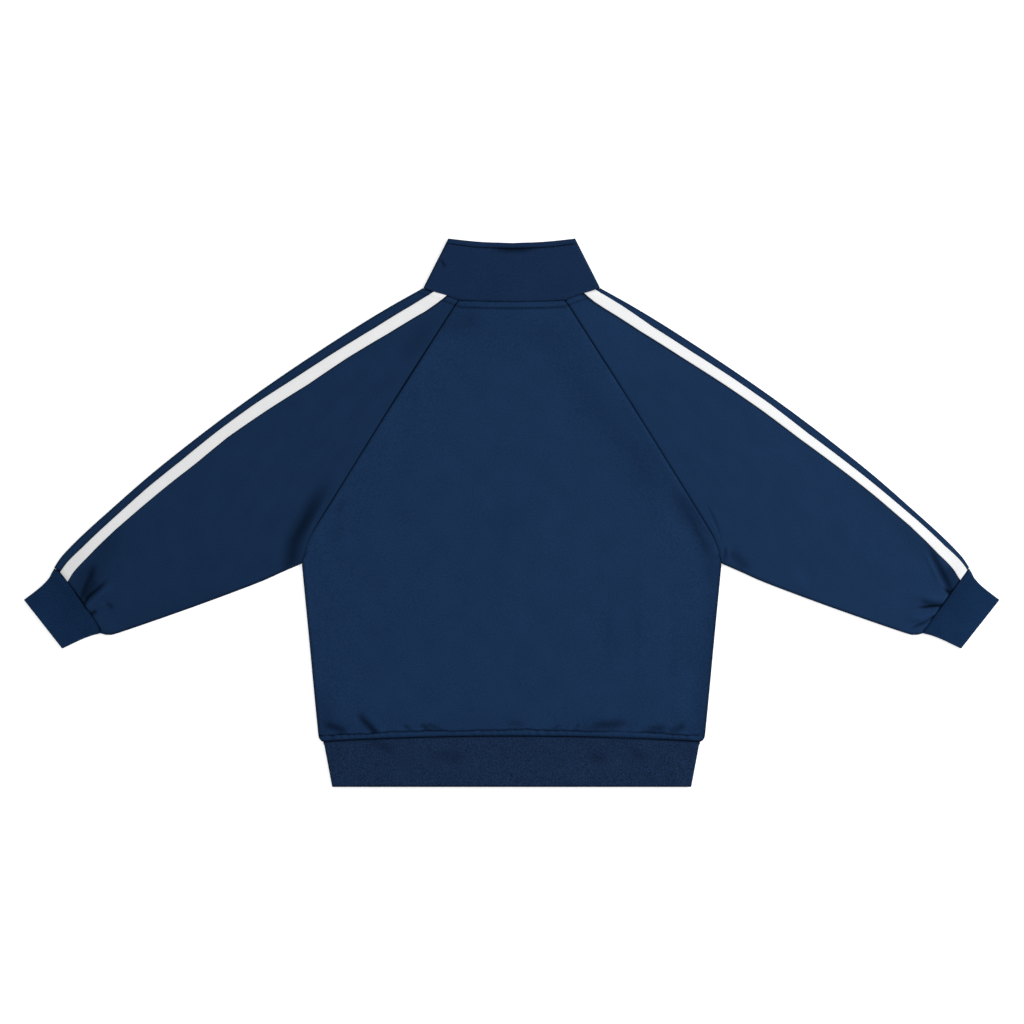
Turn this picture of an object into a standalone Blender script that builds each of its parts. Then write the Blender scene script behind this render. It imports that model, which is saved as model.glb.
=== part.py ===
"""A zip-up track jacket laid flat with its back up, as the cut pieces that a maker sews together.

Metres, +Z up. The jacket lies on z = 0 with its collar toward +Y and its sleeves toward -X and +X; the
sleeve at -X is the wearer's left. The fronts, the lower halves of the sleeves and the lower walls of the
ribs rest on that surface, and the back, the stripes and the upper walls lie over them. Each piece of cloth
is the open middle surface of its wall, and a Solidify modifier gives it its thickness. Outlines are drawn
for the +X half and mirrored; only the soft folds differ from side to side.
"""

import math
from collections import namedtuple

import bmesh
import bpy
from mathutils import Vector

# Cloth thicknesses, and the radius of the middle surface where a wall turns over.
CLOTH = 0.0012
RIB = 0.0022
COLLAR = 0.0024
STRIPE = 0.0007
ZIP_TAPE = 0.0010
CLOTH_TURN = 0.0017
RIB_TURN = 0.0016
COLLAR_TURN = 0.0025

# Seams: the gap between two middle surfaces, and the dip of the cloth along the stitching.
SEAM_GAP = 0.0006
SEAM_SLOT = math.radians(15)
SEAM_DIP = 0.0006
SEAM_REACH = 0.006
HEM_EASE = 0.0003
STRIPE_CLEAR = 0.0003

# How the layers lie on each other.
NECK_RISE = 0.0014
NECK_REACH = 0.030
HEM_ROLL = 0.0016
HEM_ROLL_PLACE = 0.0055
HEM_ROLL_WIDTH = 0.0040
SLEEVE_FULLNESS = 0.0008
BODY_FULLNESS = 0.0009
SLEEVE_ROUNDNESS = 0.8
BODY_REACH = 0.120
EDGE_FADE = 0.022
EDGE_DIP = 0.004
NECK_RISE_FADE = 0.012
CUFF_RISE = 0.014
HEM_RISE = 0.020
HEM_DIP_REACH = 0.004
PUCKER_LOW, PUCKER_HIGH = 0.002, 0.008
COLLAR_LOOSE_NEAR, COLLAR_LOOSE_FAR = 0.080, 0.110
COLLAR_DIP_SHARE = 0.08
RIB_LOOSE_NEAR, RIB_LOOSE_FAR = 0.210, 0.250
RIB_DIP, RIB_DIP_SHARE = 0.0004, 0.10

# Plan geometry: the run over which a turned edge swings round to a seam, and the steps of measuring.
END_BLEND = 0.030
HEADING_REACH = 0.002
MITRE_LIMIT = 0.5
NEAR_FOLD = 0.02
ROWS_AFTER_STRIPE = 0.03
BOW_SHARE = 0.5

# The zip. The slider lifts the cloth on both sides of it, and the back over it.
ZIP_OPEN = 0.0053
TAPE_OUTER = 0.0049
SLIDER_Y = 0.3075
ZIP_LIFT = 0.0029
ZIP_LIFT_LOW, ZIP_LIFT_HIGH = 0.225, 0.294
ZIP_LIFT_NEAR, ZIP_LIFT_FAR = 0.008, 0.045
BACK_LIFT = 0.0024
BACK_LIFT_LOW, BACK_LIFT_HIGH = 0.195, 0.284
BACK_LIFT_TOP_LOW, BACK_LIFT_TOP_HIGH = 0.326, 0.370
BACK_LIFT_NEAR, BACK_LIFT_FAR = 0.010, 0.080

Spot = namedtuple("Spot", "x y")
NECK_SIDE = Spot(0.1216, 0.3090)
UNDERARM = Spot(0.2888, -0.0705)
SHOULDER_FOLD = [NECK_SIDE, Spot(0.1705, 0.2815), Spot(0.2248, 0.2482), Spot(0.3004, 0.1987),
                 Spot(0.3713, 0.1492), Spot(0.4373, 0.0997), Spot(0.4991, 0.0502), Spot(0.5555, 0.0007),
                 Spot(0.5919, -0.0323), Spot(0.6180, -0.0590), Spot(0.6296, -0.0755)]
SLEEVE_UNDER = [UNDERARM, Spot(0.3149, -0.0818), Spot(0.3527, -0.0983), Spot(0.4414, -0.1313),
                Spot(0.5363, -0.1643), Spot(0.5545, -0.1684), Spot(0.5643, -0.1668)]
NECK_BACK = [NECK_SIDE, Spot(0.1075, 0.3039), Spot(0.0886, 0.2984), Spot(0.0730, 0.2920)]
NECK_CENTRE = [Spot(0.0730, 0.2920), Spot(0.0400, 0.2905), Spot(0.0000, 0.2897)]
RAGLAN_FOOT = [Spot(0.2700, -0.0200), Spot(0.2815, -0.0430), UNDERARM]
RAGLAN_BACK = [Spot(0.0730, 0.2920), Spot(0.0866, 0.2720), Spot(0.1650, 0.1490), Spot(0.2420, 0.0253)]
RAGLAN_BACK += RAGLAN_FOOT
NECK_FRONT_SLEEVE = [NECK_SIDE, Spot(0.0950, 0.2650)]
NECK_FRONT = [Spot(0.0950, 0.2650), Spot(0.0640, 0.2460), Spot(0.0320, 0.2380), Spot(ZIP_OPEN, 0.2360)]
RAGLAN_FRONT = [Spot(0.0950, 0.2650), Spot(0.1750, 0.1340), Spot(0.2420, 0.0253)]
RAGLAN_FRONT += RAGLAN_FOOT
SIDE_SEAM = [UNDERARM, Spot(0.2862, -0.0985), Spot(0.2798, -0.1640), Spot(0.2736, -0.2300),
             Spot(0.2672, -0.2960), Spot(0.2650, -0.3150)]
HEM_MIDDLE, HEM_SIDE = Spot(0.0, -0.3073), Spot(0.2650, -0.3150)
RIB_TOP_HALF = 0.2580
RIB_FOOT = Spot(0.2470, -0.3774)
COLLAR_CORNER = Spot(0.0875, 0.3765)
COLLAR_TOP = [COLLAR_CORNER, Spot(0.0450, 0.3722), Spot(0.0000, 0.3704)]
COLLAR_FRONT_TOP = [COLLAR_CORNER, Spot(0.0680, 0.3480), Spot(0.0380, 0.3260), Spot(ZIP_OPEN, 0.3180)]
CUFF_TOP = Spot(0.6296, -0.0755)
CUFF_UNDER = Spot(0.5643, -0.1668)
CUFF_END = [Spot(0.6706, -0.1203), Spot(0.6183, -0.1868)]

# How far a cuff reaches to each side of its middle, at its distances from the cuff seam.
CuffWidth = namedtuple("CuffWidth", "along top under")
CUFF_WIDTHS = [CuffWidth(0.0, 0.0550, 0.0550), CuffWidth(0.006, 0.0520, 0.0528),
               CuffWidth(0.014, 0.0478, 0.0502), CuffWidth(0.030, 0.0444, 0.0468),
               CuffWidth(0.0575, 0.0427, 0.0427)]

# The woven stripe on each sleeve: how far its outer edge lies from the shoulder fold, and its width.
StripePlace = namedtuple("StripePlace", "share gap")
STRIPE_WIDTH = 0.0180
STRIPE_GAPS = {
    -1: [StripePlace(0.0, 0.0120), StripePlace(0.2, 0.0112), StripePlace(0.5, 0.0105),
         StripePlace(0.8, 0.0118), StripePlace(1.0, 0.0125)],
    1: [StripePlace(0.0, 0.0095), StripePlace(0.2, 0.0085), StripePlace(0.5, 0.0080),
        StripePlace(0.8, 0.0068), StripePlace(1.0, 0.0052)],
}

# Soft folds of the upper layers: centre, half length, half width, heading in degrees, height.
Fold = namedtuple("Fold", "x y length width heading height")
FOLDS = [
    Fold(-0.3000, -0.0200, 0.055, 0.013, 67, -0.0014),
    Fold(-0.2560, 0.0250, 0.070, 0.013, 60, 0.0007),
    Fold(0.2380, -0.0150, 0.065, 0.014, -62, -0.0012),
    Fold(0.1950, 0.0900, 0.095, 0.026, -58, -0.0010),
    Fold(-0.0640, 0.2710, 0.018, 0.012, 15, -0.0009),
    Fold(-0.1300, -0.1150, 0.060, 0.040, 35, -0.0006),
    Fold(0.1100, -0.2300, 0.090, 0.020, 85, -0.0005),
    Fold(0.2000, -0.2100, 0.080, 0.018, 86, 0.0005),
    Fold(-0.4300, 0.0300, 0.120, 0.030, 45, 0.0007),
    Fold(0.4100, 0.0100, 0.110, 0.034, -40, 0.0008),
    Fold(-0.5830, -0.1010, 0.019, 0.0055, 68, -0.0016),
    Fold(-0.5950, -0.1080, 0.020, 0.0060, 60, 0.0013),
    Fold(-0.5700, -0.1170, 0.024, 0.0060, 38, 0.0015),
    Fold(-0.5640, -0.1330, 0.014, 0.0055, 25, -0.0010),
    Fold(0.5900, -0.0800, 0.030, 0.0065, -62, -0.0015),
    Fold(0.6020, -0.0870, 0.024, 0.0060, -60, 0.0012),
    Fold(0.5740, -0.1180, 0.024, 0.0065, -12, 0.0015),
    Fold(0.5760, -0.1330, 0.022, 0.0050, 2, -0.0012),
    Fold(0.5640, -0.1480, 0.020, 0.0055, -10, 0.0012),
]
# Puckers over the hem seam, where the body is eased on to the rib.
HEM_PUCKERS = [
    Fold(-0.2400, -0.2990, 0.016, 0.0050, -20, -0.0012),
    Fold(-0.1960, -0.2960, 0.014, 0.0050, -52, -0.0014),
    Fold(-0.1460, -0.2950, 0.015, 0.0050, -8, -0.0008),
    Fold(-0.1170, -0.2960, 0.013, 0.0045, 12, -0.0008),
    Fold(0.0560, -0.2945, 0.014, 0.0050, 15, -0.0008),
    Fold(0.0930, -0.2945, 0.014, 0.0045, 50, -0.0008),
    Fold(0.1280, -0.2950, 0.018, 0.0070, 5, -0.0010),
    Fold(0.1600, -0.2950, 0.014, 0.0050, -10, -0.0008),
    Fold(0.2130, -0.2960, 0.020, 0.0060, 10, -0.0009),
]
# Waves of the rib: across the hem band in metres, and on each cuff in shares of its length and half width.
RIB_WAVES = [
    Fold(-0.1550, -0.3240, 0.024, 0.009, -12, -0.0006),
    Fold(-0.0850, -0.3380, 0.022, 0.012, 5, -0.0004),
    Fold(0.1200, -0.3380, 0.018, 0.012, 10, -0.0005),
    Fold(0.1780, -0.3370, 0.018, 0.012, 20, -0.0005),
]
CUFF_WAVES = {
    -1: [Fold(0.30, 0.25, 0.5, 0.30, 10, -0.0005), Fold(0.60, -0.45, 0.5, 0.25, -5, 0.0003)],
    1: [Fold(0.35, -0.20, 0.5, 0.28, -8, -0.0005), Fold(0.60, 0.45, 0.5, 0.25, 5, 0.0003)],
}

# Where the rows and columns of the surfaces stand, as shares of a length.
SLEEVE_STATIONS = [0.0, 0.010, 0.05, 0.12, 0.19, 0.26, 0.33, 0.40, 0.47, 0.54, 0.61, 0.68, 0.75, 0.81,
                   0.86, 0.90, 0.93, 0.955, 0.975, 0.989, 1.0]
RAGLAN_STATIONS = [0.0, 0.06, 0.16, 0.28, 0.40, 0.52, 0.64, 0.74, 0.83, 0.90, 0.945, 0.975]
FRONT_STATIONS = [0.0, 0.30, 0.60, 0.83, 0.90, 0.945, 0.975]
SIDE_STATIONS = [0.0, 0.04, 0.14, 0.27, 0.40, 0.53, 0.66, 0.78, 0.87, 0.925, 0.955, 0.972, 0.986, 1.0]
FRONT_SIDE_STATIONS = [0.0, 0.06, 0.30, 0.60, 0.90, 1.0]
BODY_COLUMNS = [0.0, 0.11, 0.22, 0.33, 0.44, 0.55, 0.66, 0.77, 0.88, 1.0]
FRONT_COLUMNS = [0.0, 0.10, 0.20, 0.36, 0.56, 0.78, 1.0]
SIDE_COLUMNS = [0.0, 0.25, 0.50, 0.75]
MIDDLE_COLUMNS = [0.0, 0.22, 0.44, 0.64, 0.80, 0.90, 1.0]
RIB_COLUMNS = [0.0, 0.12, 0.24, 0.36, 0.48, 0.60, 0.72, 0.84, 1.0]
COLLAR_ROWS = [0.0, 0.07, 0.20, 0.45, 0.70, 0.90, 1.0]
RIB_ROWS = [0.0, 0.10, 0.35, 0.70, 1.0]
CUFF_ROWS = [0.0, 0.10, 0.25, 0.52, 1.0]
CUFF_COLUMNS = [-1.0, -0.6, -0.2, 0.2, 0.6, 1.0]
TURN_STEPS = 3

# Each half of the zip's tape: how far its inner edge stands from the middle. The slider parts the halves.
TapeEdge = namedtuple("TapeEdge", "y inner")
TAPE_INNER = [TapeEdge(-0.3665, 0.0004), TapeEdge(0.2980, 0.0004), TapeEdge(0.3060, 0.0015),
              TapeEdge(0.3175, 0.0019)]
TAPE_STATIONS = [-0.3665, -0.3080, -0.2000, -0.1000, 0.0, 0.1000, 0.1800, 0.2150, 0.2360, 0.2500, 0.2650,
                 0.2800, 0.2920, 0.2980, 0.3060, 0.3110, 0.3175]
SLIDER_WIDTH, SLIDER_LENGTH = 0.0084, 0.0120
SLIDER_PLATE, SLIDER_SPACE, PLATE_ROUNDING = 0.0009, 0.0024, 0.0003
SLIDER_POST, POST_LENGTH, POST_PLACE = 0.0018, 0.0048, 0.0030
SLIDER_CLEAR = 0.0001
BRIDGE_WIDTH, BRIDGE_LENGTH, BRIDGE_THICK, BRIDGE_LEG = 0.0022, 0.0075, 0.0006, 0.0010
PULL_WIDTH, PULL_LENGTH, PULL_THICK, PULL_ROUNDING = 0.0070, 0.0260, 0.0008, 0.0002
PULL_BAR, PULL_EYE, PULL_EYE_WIDTH = 0.0008, 0.0046, 0.0036
ZIP_BOX_WIDTH, ZIP_BOX_LENGTH, ZIP_BOX_Y = 0.0080, 0.0090, -0.3725
CLOTH_ROUGHNESS, METAL_ROUGHNESS = 0.85, 0.35
PALETTE = {
    "navy": (0.0115, 0.0325, 0.0840, 1.0),
    "rib_navy": (0.0095, 0.0230, 0.0560, 1.0),
    "white": (0.86, 0.86, 0.87, 1.0),
    "metal": (0.62, 0.63, 0.65, 1.0),
}


def ease(value, low, high):
    """0 below low, 1 above high, and smooth between."""
    share = min(1.0, max(0.0, (value - low) / (high - low)))
    return share * share * (3.0 - 2.0 * share)


def across(a, b, share):
    return a + (b - a) * share


def table_value(table, share, key, column):
    """A column of a table, read between its rows."""
    for low, high in zip(table, table[1:]):
        if share <= getattr(high, key):
            span = getattr(high, key) - getattr(low, key)
            part = (share - getattr(low, key)) / span
            return across(getattr(low, column), getattr(high, column), part)
    return getattr(table[-1], column)


class Line:
    """A line in plan through one or more legs of points, smooth along each leg."""

    STEPS = 10

    def __init__(self, *legs, points=None):
        self.points = points or []
        self.corners = []
        for leg in legs:
            spots = [Vector((spot.x, spot.y)) for spot in leg]
            ends = [2 * spots[0] - spots[1]] + spots + [2 * spots[-1] - spots[-2]]
            for index in range(len(spots) - 1):
                before, start, end, after = ends[index:index + 4]
                for step in range(self.STEPS):
                    self.points.append(self.bend(before, start, end, after, step / self.STEPS))
            self.corners.append(len(self.points))
        if legs:
            self.points.append(spots[-1])
        self.lengths = [0.0]
        for start, end in zip(self.points, self.points[1:]):
            self.lengths.append(self.lengths[-1] + (end - start).length)
        self.length = self.lengths[-1]

    @staticmethod
    def bend(before, start, end, after, t):
        """Catmull-Rom between start and end."""
        return 0.5 * (2 * start + (end - before) * t
                      + (2 * before - 5 * start + 4 * end - after) * t * t
                      + (3 * start - before - 3 * end + after) * t * t * t)

    def corner_share(self, leg):
        return self.lengths[self.corners[leg]] / self.length

    def at(self, share):
        target = share * self.length
        for index in range(1, len(self.points)):
            if target <= self.lengths[index] or index == len(self.points) - 1:
                span = self.lengths[index] - self.lengths[index - 1]
                part = (target - self.lengths[index - 1]) / span
                return self.points[index - 1].lerp(self.points[index], part)

    def heading(self, share):
        reach = HEADING_REACH / self.length
        return (self.at(min(1.0, share + reach)) - self.at(max(0.0, share - reach))).normalized()

    def moved(self, distance):
        """The same line moved to its left by distance, mitred at its corners."""
        moved = []
        last = len(self.points) - 1
        for index, point in enumerate(self.points):
            into = (point - self.points[max(0, index - 1)])
            out = (self.points[min(last, index + 1)] - point)
            into = (into if index else out).normalized()
            out = (out if index < last else into).normalized()
            left = left_of(into + out).normalized()
            moved.append(point + left * distance / max(MITRE_LIMIT, left.dot(left_of(out))))
        line = Line(points=moved)
        line.corners = self.corners
        return line


def left_of(direction):
    return Vector((-direction.y, direction.x))


def folds_height(folds, x, y):
    """The height that the soft folds add at a place."""
    height = 0.0
    for fold in folds:
        heading = math.radians(fold.heading)
        dx, dy = x - fold.x, y - fold.y
        along = dx * math.cos(heading) + dy * math.sin(heading)
        aside = dy * math.cos(heading) - dx * math.sin(heading)
        height += fold.height * math.exp(-((along / fold.length) ** 2) - (aside / fold.width) ** 2)
    return height


def zip_lift(x, y):
    """How far the slider and its pull hold the fronts and the collar off the surface."""
    near = 1.0 - ease(abs(x), ZIP_LIFT_NEAR, ZIP_LIFT_FAR)
    return ZIP_LIFT * near * ease(y, ZIP_LIFT_LOW, ZIP_LIFT_HIGH)


def back_lift(x, y):
    """How far the slider raises the cloth that lies over it."""
    near = 1.0 - ease(abs(x), BACK_LIFT_NEAR, BACK_LIFT_FAR)
    below = ease(y, BACK_LIFT_LOW, BACK_LIFT_HIGH)
    return BACK_LIFT * near * below * (1.0 - ease(y, BACK_LIFT_TOP_LOW, BACK_LIFT_TOP_HIGH))


def solidified(name, rows, colour, thickness, ring=False):
    """One piece of cloth: a grid of points as an open surface, with its thickness."""
    mesh = bpy.data.meshes.new(name)
    grid = bmesh.new()
    points = [[grid.verts.new(point) for point in row] for row in rows]
    columns = len(rows[0]) if ring else len(rows[0]) - 1
    for upper, lower in zip(points, points[1:]):
        for column in range(columns):
            after = (column + 1) % len(upper)
            grid.faces.new((upper[column], lower[column], lower[after], upper[after]))
    grid.to_mesh(mesh)
    grid.free()
    mesh.shade_smooth()
    piece = bpy.data.objects.new(name, mesh)
    jacket.objects.link(piece)
    wall = piece.modifiers.new("wall", "SOLIDIFY")
    wall.thickness = thickness
    wall.offset = 0.0
    finish(piece, colour)
    return piece


def finish(piece, colour, roughness=CLOTH_ROUGHNESS, metallic=0.0):
    """Gives a piece a material of its own."""
    material = bpy.data.materials.new(piece.name)
    material.use_nodes = True
    shader = material.node_tree.nodes["Principled BSDF"]
    shader.inputs["Base Color"].default_value = PALETTE[colour]
    shader.inputs["Roughness"].default_value = roughness
    shader.inputs["Metallic"].default_value = metallic
    piece.data.materials.append(material)


class TurnedEdge:
    """An edge where a wall turns over to the layer below.

    side is 1 where the cloth lies on the outline's left and -1 on its right. Each end says how the next
    seam runs from the outline's end into the cloth, and the way across that seam to the next piece.
    """

    def __init__(self, outline, side, wall, radius, start, end):
        self.outline = outline
        self.side = side
        self.wall = wall
        self.radius = radius
        self.ends = (start, end)

    def place(self, share):
        """Where the flat part ends, and the outermost place of the middle surface."""
        square = left_of(self.outline.heading(share)) * self.side
        near = [1.0 - ease(share * self.outline.length, 0.0, END_BLEND),
                1.0 - ease((1.0 - share) * self.outline.length, 0.0, END_BLEND)]
        inward = square * (1.0 - near[0] - near[1])
        for weight, (along, _) in zip(near, self.ends):
            inward = inward + along * weight
        inward = inward / inward.dot(square)
        edge = self.outline.at(share)
        inner = edge + inward * (self.radius + self.wall / 2)
        brink = edge + inward * (self.wall / 2)
        if share in (0.0, 1.0):
            toward = self.ends[int(share)][1]
            inner = inner - toward * SEAM_GAP / 2
            lean = max(0.0, -square.dot(toward)) * self.wall / 2
            brink = brink - toward * (SEAM_GAP / 2 + lean)
        return inner, brink

    def turn(self, share, slot=0.0):
        """The turn from the upper layer to its middle, or to just above a seam there."""
        inner, brink = self.place(share)
        middle = self.wall / 2 + self.radius
        angles = [across(math.pi / 2, slot, step / TURN_STEPS) for step in range(TURN_STEPS + 1)]
        return [(inner.lerp(brink, math.cos(angle)), middle + self.radius * math.sin(angle))
                for angle in angles]

    def turn_below(self, share, slot=0.0):
        """The same turn's lower half, from its middle down to the lower layer."""
        middle = self.wall / 2 + self.radius
        return [(spot, 2 * middle - height) for spot, height in reversed(self.turn(share, slot))]


def patch(share, weight, first, last, start, end):
    """A place between four lines in plan: share runs from start to end, weight from first to last.

    first and last are turned edges, and start and end are read between the places where those begin.
    """
    left, right = first.place(share)[0], last.place(share)[0]
    spot = left.lerp(right, weight)
    for line, at, part in ((start, 0.0, 1.0 - share), (end, 1.0, share)):
        left, right = first.place(at)[0], last.place(at)[0]
        low = (left - line.at(0.0)).length / line.length
        high = 1.0 - (right - line.at(1.0)).length / line.length
        spot = spot + (line.at(across(low, high, weight)) - left.lerp(right, weight)) * part
    return spot


def hem_y(x):
    """The hem seam sags toward the sides."""
    return HEM_MIDDLE.y + (HEM_SIDE.y - HEM_MIDDLE.y) * (x / HEM_SIDE.x) ** 2


HEM_SEAM = [Spot(x, hem_y(x)) for x in (0.0, 0.09, 0.18, HEM_SIDE.x)]
NECK_SEAM = Line(NECK_BACK)
WHOLE_NECK_SEAM = Line(NECK_BACK, NECK_CENTRE)
RAGLAN_SEAM = Line(RAGLAN_BACK)
CUFF_SEAM = Line([CUFF_TOP, CUFF_UNDER])
CLOTH_TOP = CLOTH / 2 + 2 * CLOTH_TURN
RIB_TOP = RIB / 2 + 2 * RIB_TURN
COLLAR_TOP_HEIGHT = COLLAR / 2 + 2 * COLLAR_TURN
TO_COLLAR = -left_of(NECK_SEAM.heading(0.0))
TO_BODY = -left_of(RAGLAN_SEAM.heading(1.0))
TO_CUFF = left_of(CUFF_SEAM.heading(0.0))


def world(side, points):
    """Points of the +X half put on one side of the jacket."""
    return [Vector((spot.x * side, spot.y, height)) for spot, height in points]


def sleeve_edges():
    """The shoulder fold, and the underarm where the sleeve's two long edges are sewn together."""
    cuff = CUFF_SEAM.heading(0.0)
    fold = TurnedEdge(Line(SHOULDER_FOLD), -1, CLOTH, CLOTH_TURN,
                      (NECK_SEAM.heading(0.0), TO_COLLAR), (cuff, TO_CUFF))
    under = TurnedEdge(Line(SLEEVE_UNDER), 1, CLOTH, CLOTH_TURN,
                       (-RAGLAN_SEAM.heading(1.0), TO_BODY), (-cuff, TO_CUFF))
    return fold, under


def sleeve_weights(side, share, fold, under, start, end):
    """The rows of a sleeve's upper layer from its fold: the stripe's three, then those to the underarm."""
    near = patch(share, NEAR_FOLD, fold, under, start, end) - patch(share, 0.0, fold, under, start, end)
    slant = abs(left_of(fold.outline.heading(share)).dot(near))
    gap = table_value(STRIPE_GAPS[side], share, "share", "gap") - CLOTH_TURN - CLOTH / 2
    first = NEAR_FOLD * gap / slant
    last = NEAR_FOLD * (gap + STRIPE_WIDTH) / slant
    corner = max(start.corner_share(0), last + ROWS_AFTER_STRIPE)
    rest = [across(corner, 1.0, station) for station in RAGLAN_STATIONS]
    return [0.0, first, (first + last) / 2, last] + rest


def sleeve_height(side, share, weight, spot, ends, width):
    """The middle surface of a sleeve's upper layer."""
    from_edge = min(weight, 1.0 - weight) * width
    loose = ease(from_edge, 0.0, EDGE_FADE)
    height = CLOTH_TOP + SLEEVE_FULLNESS * math.sin(math.pi * weight) ** SLEEVE_ROUNDNESS
    height += (folds_height(FOLDS, spot.x * side, spot.y) + back_lift(spot.x, spot.y)) * loose
    from_neck, from_cuff = [(spot - end).length for end in ends]
    height += neck_rise(spot) * ease(from_edge, 0.0, NECK_RISE_FADE)
    height += (RIB_TOP - CLOTH_TOP) * (1.0 - ease(from_cuff, 0.0, CUFF_RISE)) * loose
    dip = 2.0 - ease(from_neck, 0.0, SEAM_REACH) - ease(from_cuff, 0.0, SEAM_REACH)
    return height - SEAM_DIP * dip * ease(from_edge, 0.0, EDGE_DIP)


def from_neck_seam(spot):
    return min((spot - point).length for point in WHOLE_NECK_SEAM.points)


def neck_rise(spot):
    """The upper layer climbs to the thick collar at the neck seam."""
    return NECK_RISE * (1.0 - ease(from_neck_seam(spot), 0.0, NECK_REACH))


def sleeve_rows(side):
    """A raglan sleeve, one piece of cloth: a row for each station from the neck to the cuff."""
    fold, under = sleeve_edges()
    gap = SEAM_GAP / 2
    back = Line(NECK_BACK, RAGLAN_BACK).moved(gap)
    front = Line(NECK_FRONT_SLEEVE, RAGLAN_FRONT).moved(gap)
    cuff = CUFF_SEAM.moved(-gap)
    turn = front.corner_share(0)
    lower = [turn * column for column in SIDE_COLUMNS[1:]]
    lower += [across(turn, 1.0, station) for station in FRONT_STATIONS]
    rows = []
    for share in SLEEVE_STATIONS:
        width = (fold.place(share)[0] - under.place(share)[0]).length
        upper = []
        for weight in reversed(sleeve_weights(side, share, fold, under, back, cuff)):
            spot = patch(share, weight, fold, under, back, cuff)
            ends = [patch(end, weight, fold, under, back, cuff) for end in (0.0, 1.0)]
            upper.append((spot, sleeve_height(side, share, weight, spot, ends, width)))
        below = [(patch(share, weight, fold, under, front, cuff), CLOTH / 2) for weight in lower]
        under_turn = list(reversed(under.turn(share, SEAM_SLOT)))
        around = fold.turn(share)[1:] + fold.turn_below(share)[1:]
        under_below = list(reversed(under.turn_below(share, SEAM_SLOT)))
        row = under_turn + upper[:-1] + [fold.turn(share)[0]] + around + below + under_below
        rows.append(world(side, row))
    return rows


def stripe_rows(sleeve):
    """A woven stripe made from the sleeve's own points, moved out to lie on it."""
    first = TURN_STEPS + 1 + len(RAGLAN_STATIONS)
    out = CLOTH / 2 + STRIPE_CLEAR + STRIPE / 2
    rows = []
    for index, row in enumerate(sleeve):
        before, after = sleeve[max(0, index - 1)], sleeve[min(len(sleeve) - 1, index + 1)]
        moved = []
        for column in range(first, first + 3):
            normal = (after[column] - before[column]).cross(row[column + 1] - row[column - 1]).normalized()
            moved.append(row[column] + normal * out * (1.0 if normal.z > 0 else -1.0))
        rows.append(moved)
    return rows


def body_side():
    """The body's side edge, where the back and a front are sewn together."""
    return TurnedEdge(Line(SIDE_SEAM), -1, CLOTH, CLOTH_TURN, (-RAGLAN_SEAM.heading(1.0), -TO_BODY),
                      (Vector((-1.0, 0.0)), Vector((0.0, -1.0))))


def body_rows(raglan, neck, stations, side_stations, columns, middle):
    """Half of a body panel in plan, from the neck to the hem.

    Each row is its places from the middle to the side, then the height of each above a flat layer for the
    turn at the side, from 0 where the panel is flat to 1 at the brink.
    """
    side = body_side()
    hem = Line(HEM_SEAM).moved(SEAM_GAP / 2 + HEM_EASE)
    rows = []
    for station in stations:
        edge = raglan.at(station * (1.0 - side_start_share(raglan)))
        bow = 1.0 - ease(station, 0.0, BOW_SHARE)
        line = []
        inner = edge.x - SEAM_REACH
        places = [across(middle, inner, column) for column in columns]
        places += [across(inner, edge.x, step / TURN_STEPS) for step in range(1, TURN_STEPS + 1)]
        for x in places:
            share = 1.0 - (x - middle) / (edge.x - middle)
            y = edge.y + (neck.at(share).y - neck.at(0.0).y) * bow
            if station == 0.0:
                x = neck.at(share).x
            line.append((Vector((x, y)), 0.0))
        rows.append(line)
    for station in side_stations:
        turn = side.turn(station, SEAM_SLOT)
        inner = turn[0][0]
        sag = ease(station, 0.0, 1.0) ** 2
        line = []
        for column in columns[:-1]:
            x = across(middle, inner.x, column)
            y = inner.y + (hem.at(x / HEM_SEAM[-1].x).y - hem.at(inner.x / HEM_SEAM[-1].x).y) * sag
            line.append((Vector((x, y)), 0.0))
        line += [(spot, 2 * CLOTH_TURN + CLOTH / 2 - height) for spot, height in turn]
        rows.append(line)
    return rows


def side_start_share(raglan):
    """The share of the raglan seam that the turn at the underarm takes."""
    return (body_side().place(0.0)[0] - raglan.at(1.0)).length / raglan.length


def back_height(x, y, from_side, on_raglan):
    """The middle surface of the back."""
    spot = Vector((abs(x), y))
    from_hem = y - hem_y(x)
    loose = ease(from_side, 0.0, EDGE_FADE)
    height = CLOTH_TOP + BODY_FULLNESS * ease(from_side, 0.0, BODY_REACH)
    height += (folds_height(FOLDS, x, y) + back_lift(x, y)) * loose + neck_rise(spot)
    height += (RIB_TOP - CLOTH_TOP) * (1.0 - ease(from_hem, 0.0, HEM_RISE)) * loose
    height += folds_height(HEM_PUCKERS, x, y) * ease(from_hem, PUCKER_LOW, PUCKER_HIGH) * loose
    height += HEM_ROLL * math.exp(-((from_hem - HEM_ROLL_PLACE) / HEM_ROLL_WIDTH) ** 2) * loose
    dip = 1.0 - ease(from_hem, 0.0, HEM_DIP_REACH) + 1.0 - ease(from_neck_seam(spot), 0.0, SEAM_REACH)
    dip += (1.0 - ease(from_side, 0.0, SEAM_REACH)) if on_raglan else 0.0
    return height - SEAM_DIP * min(1.0, dip) * (1.0 if on_raglan else loose)


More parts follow.
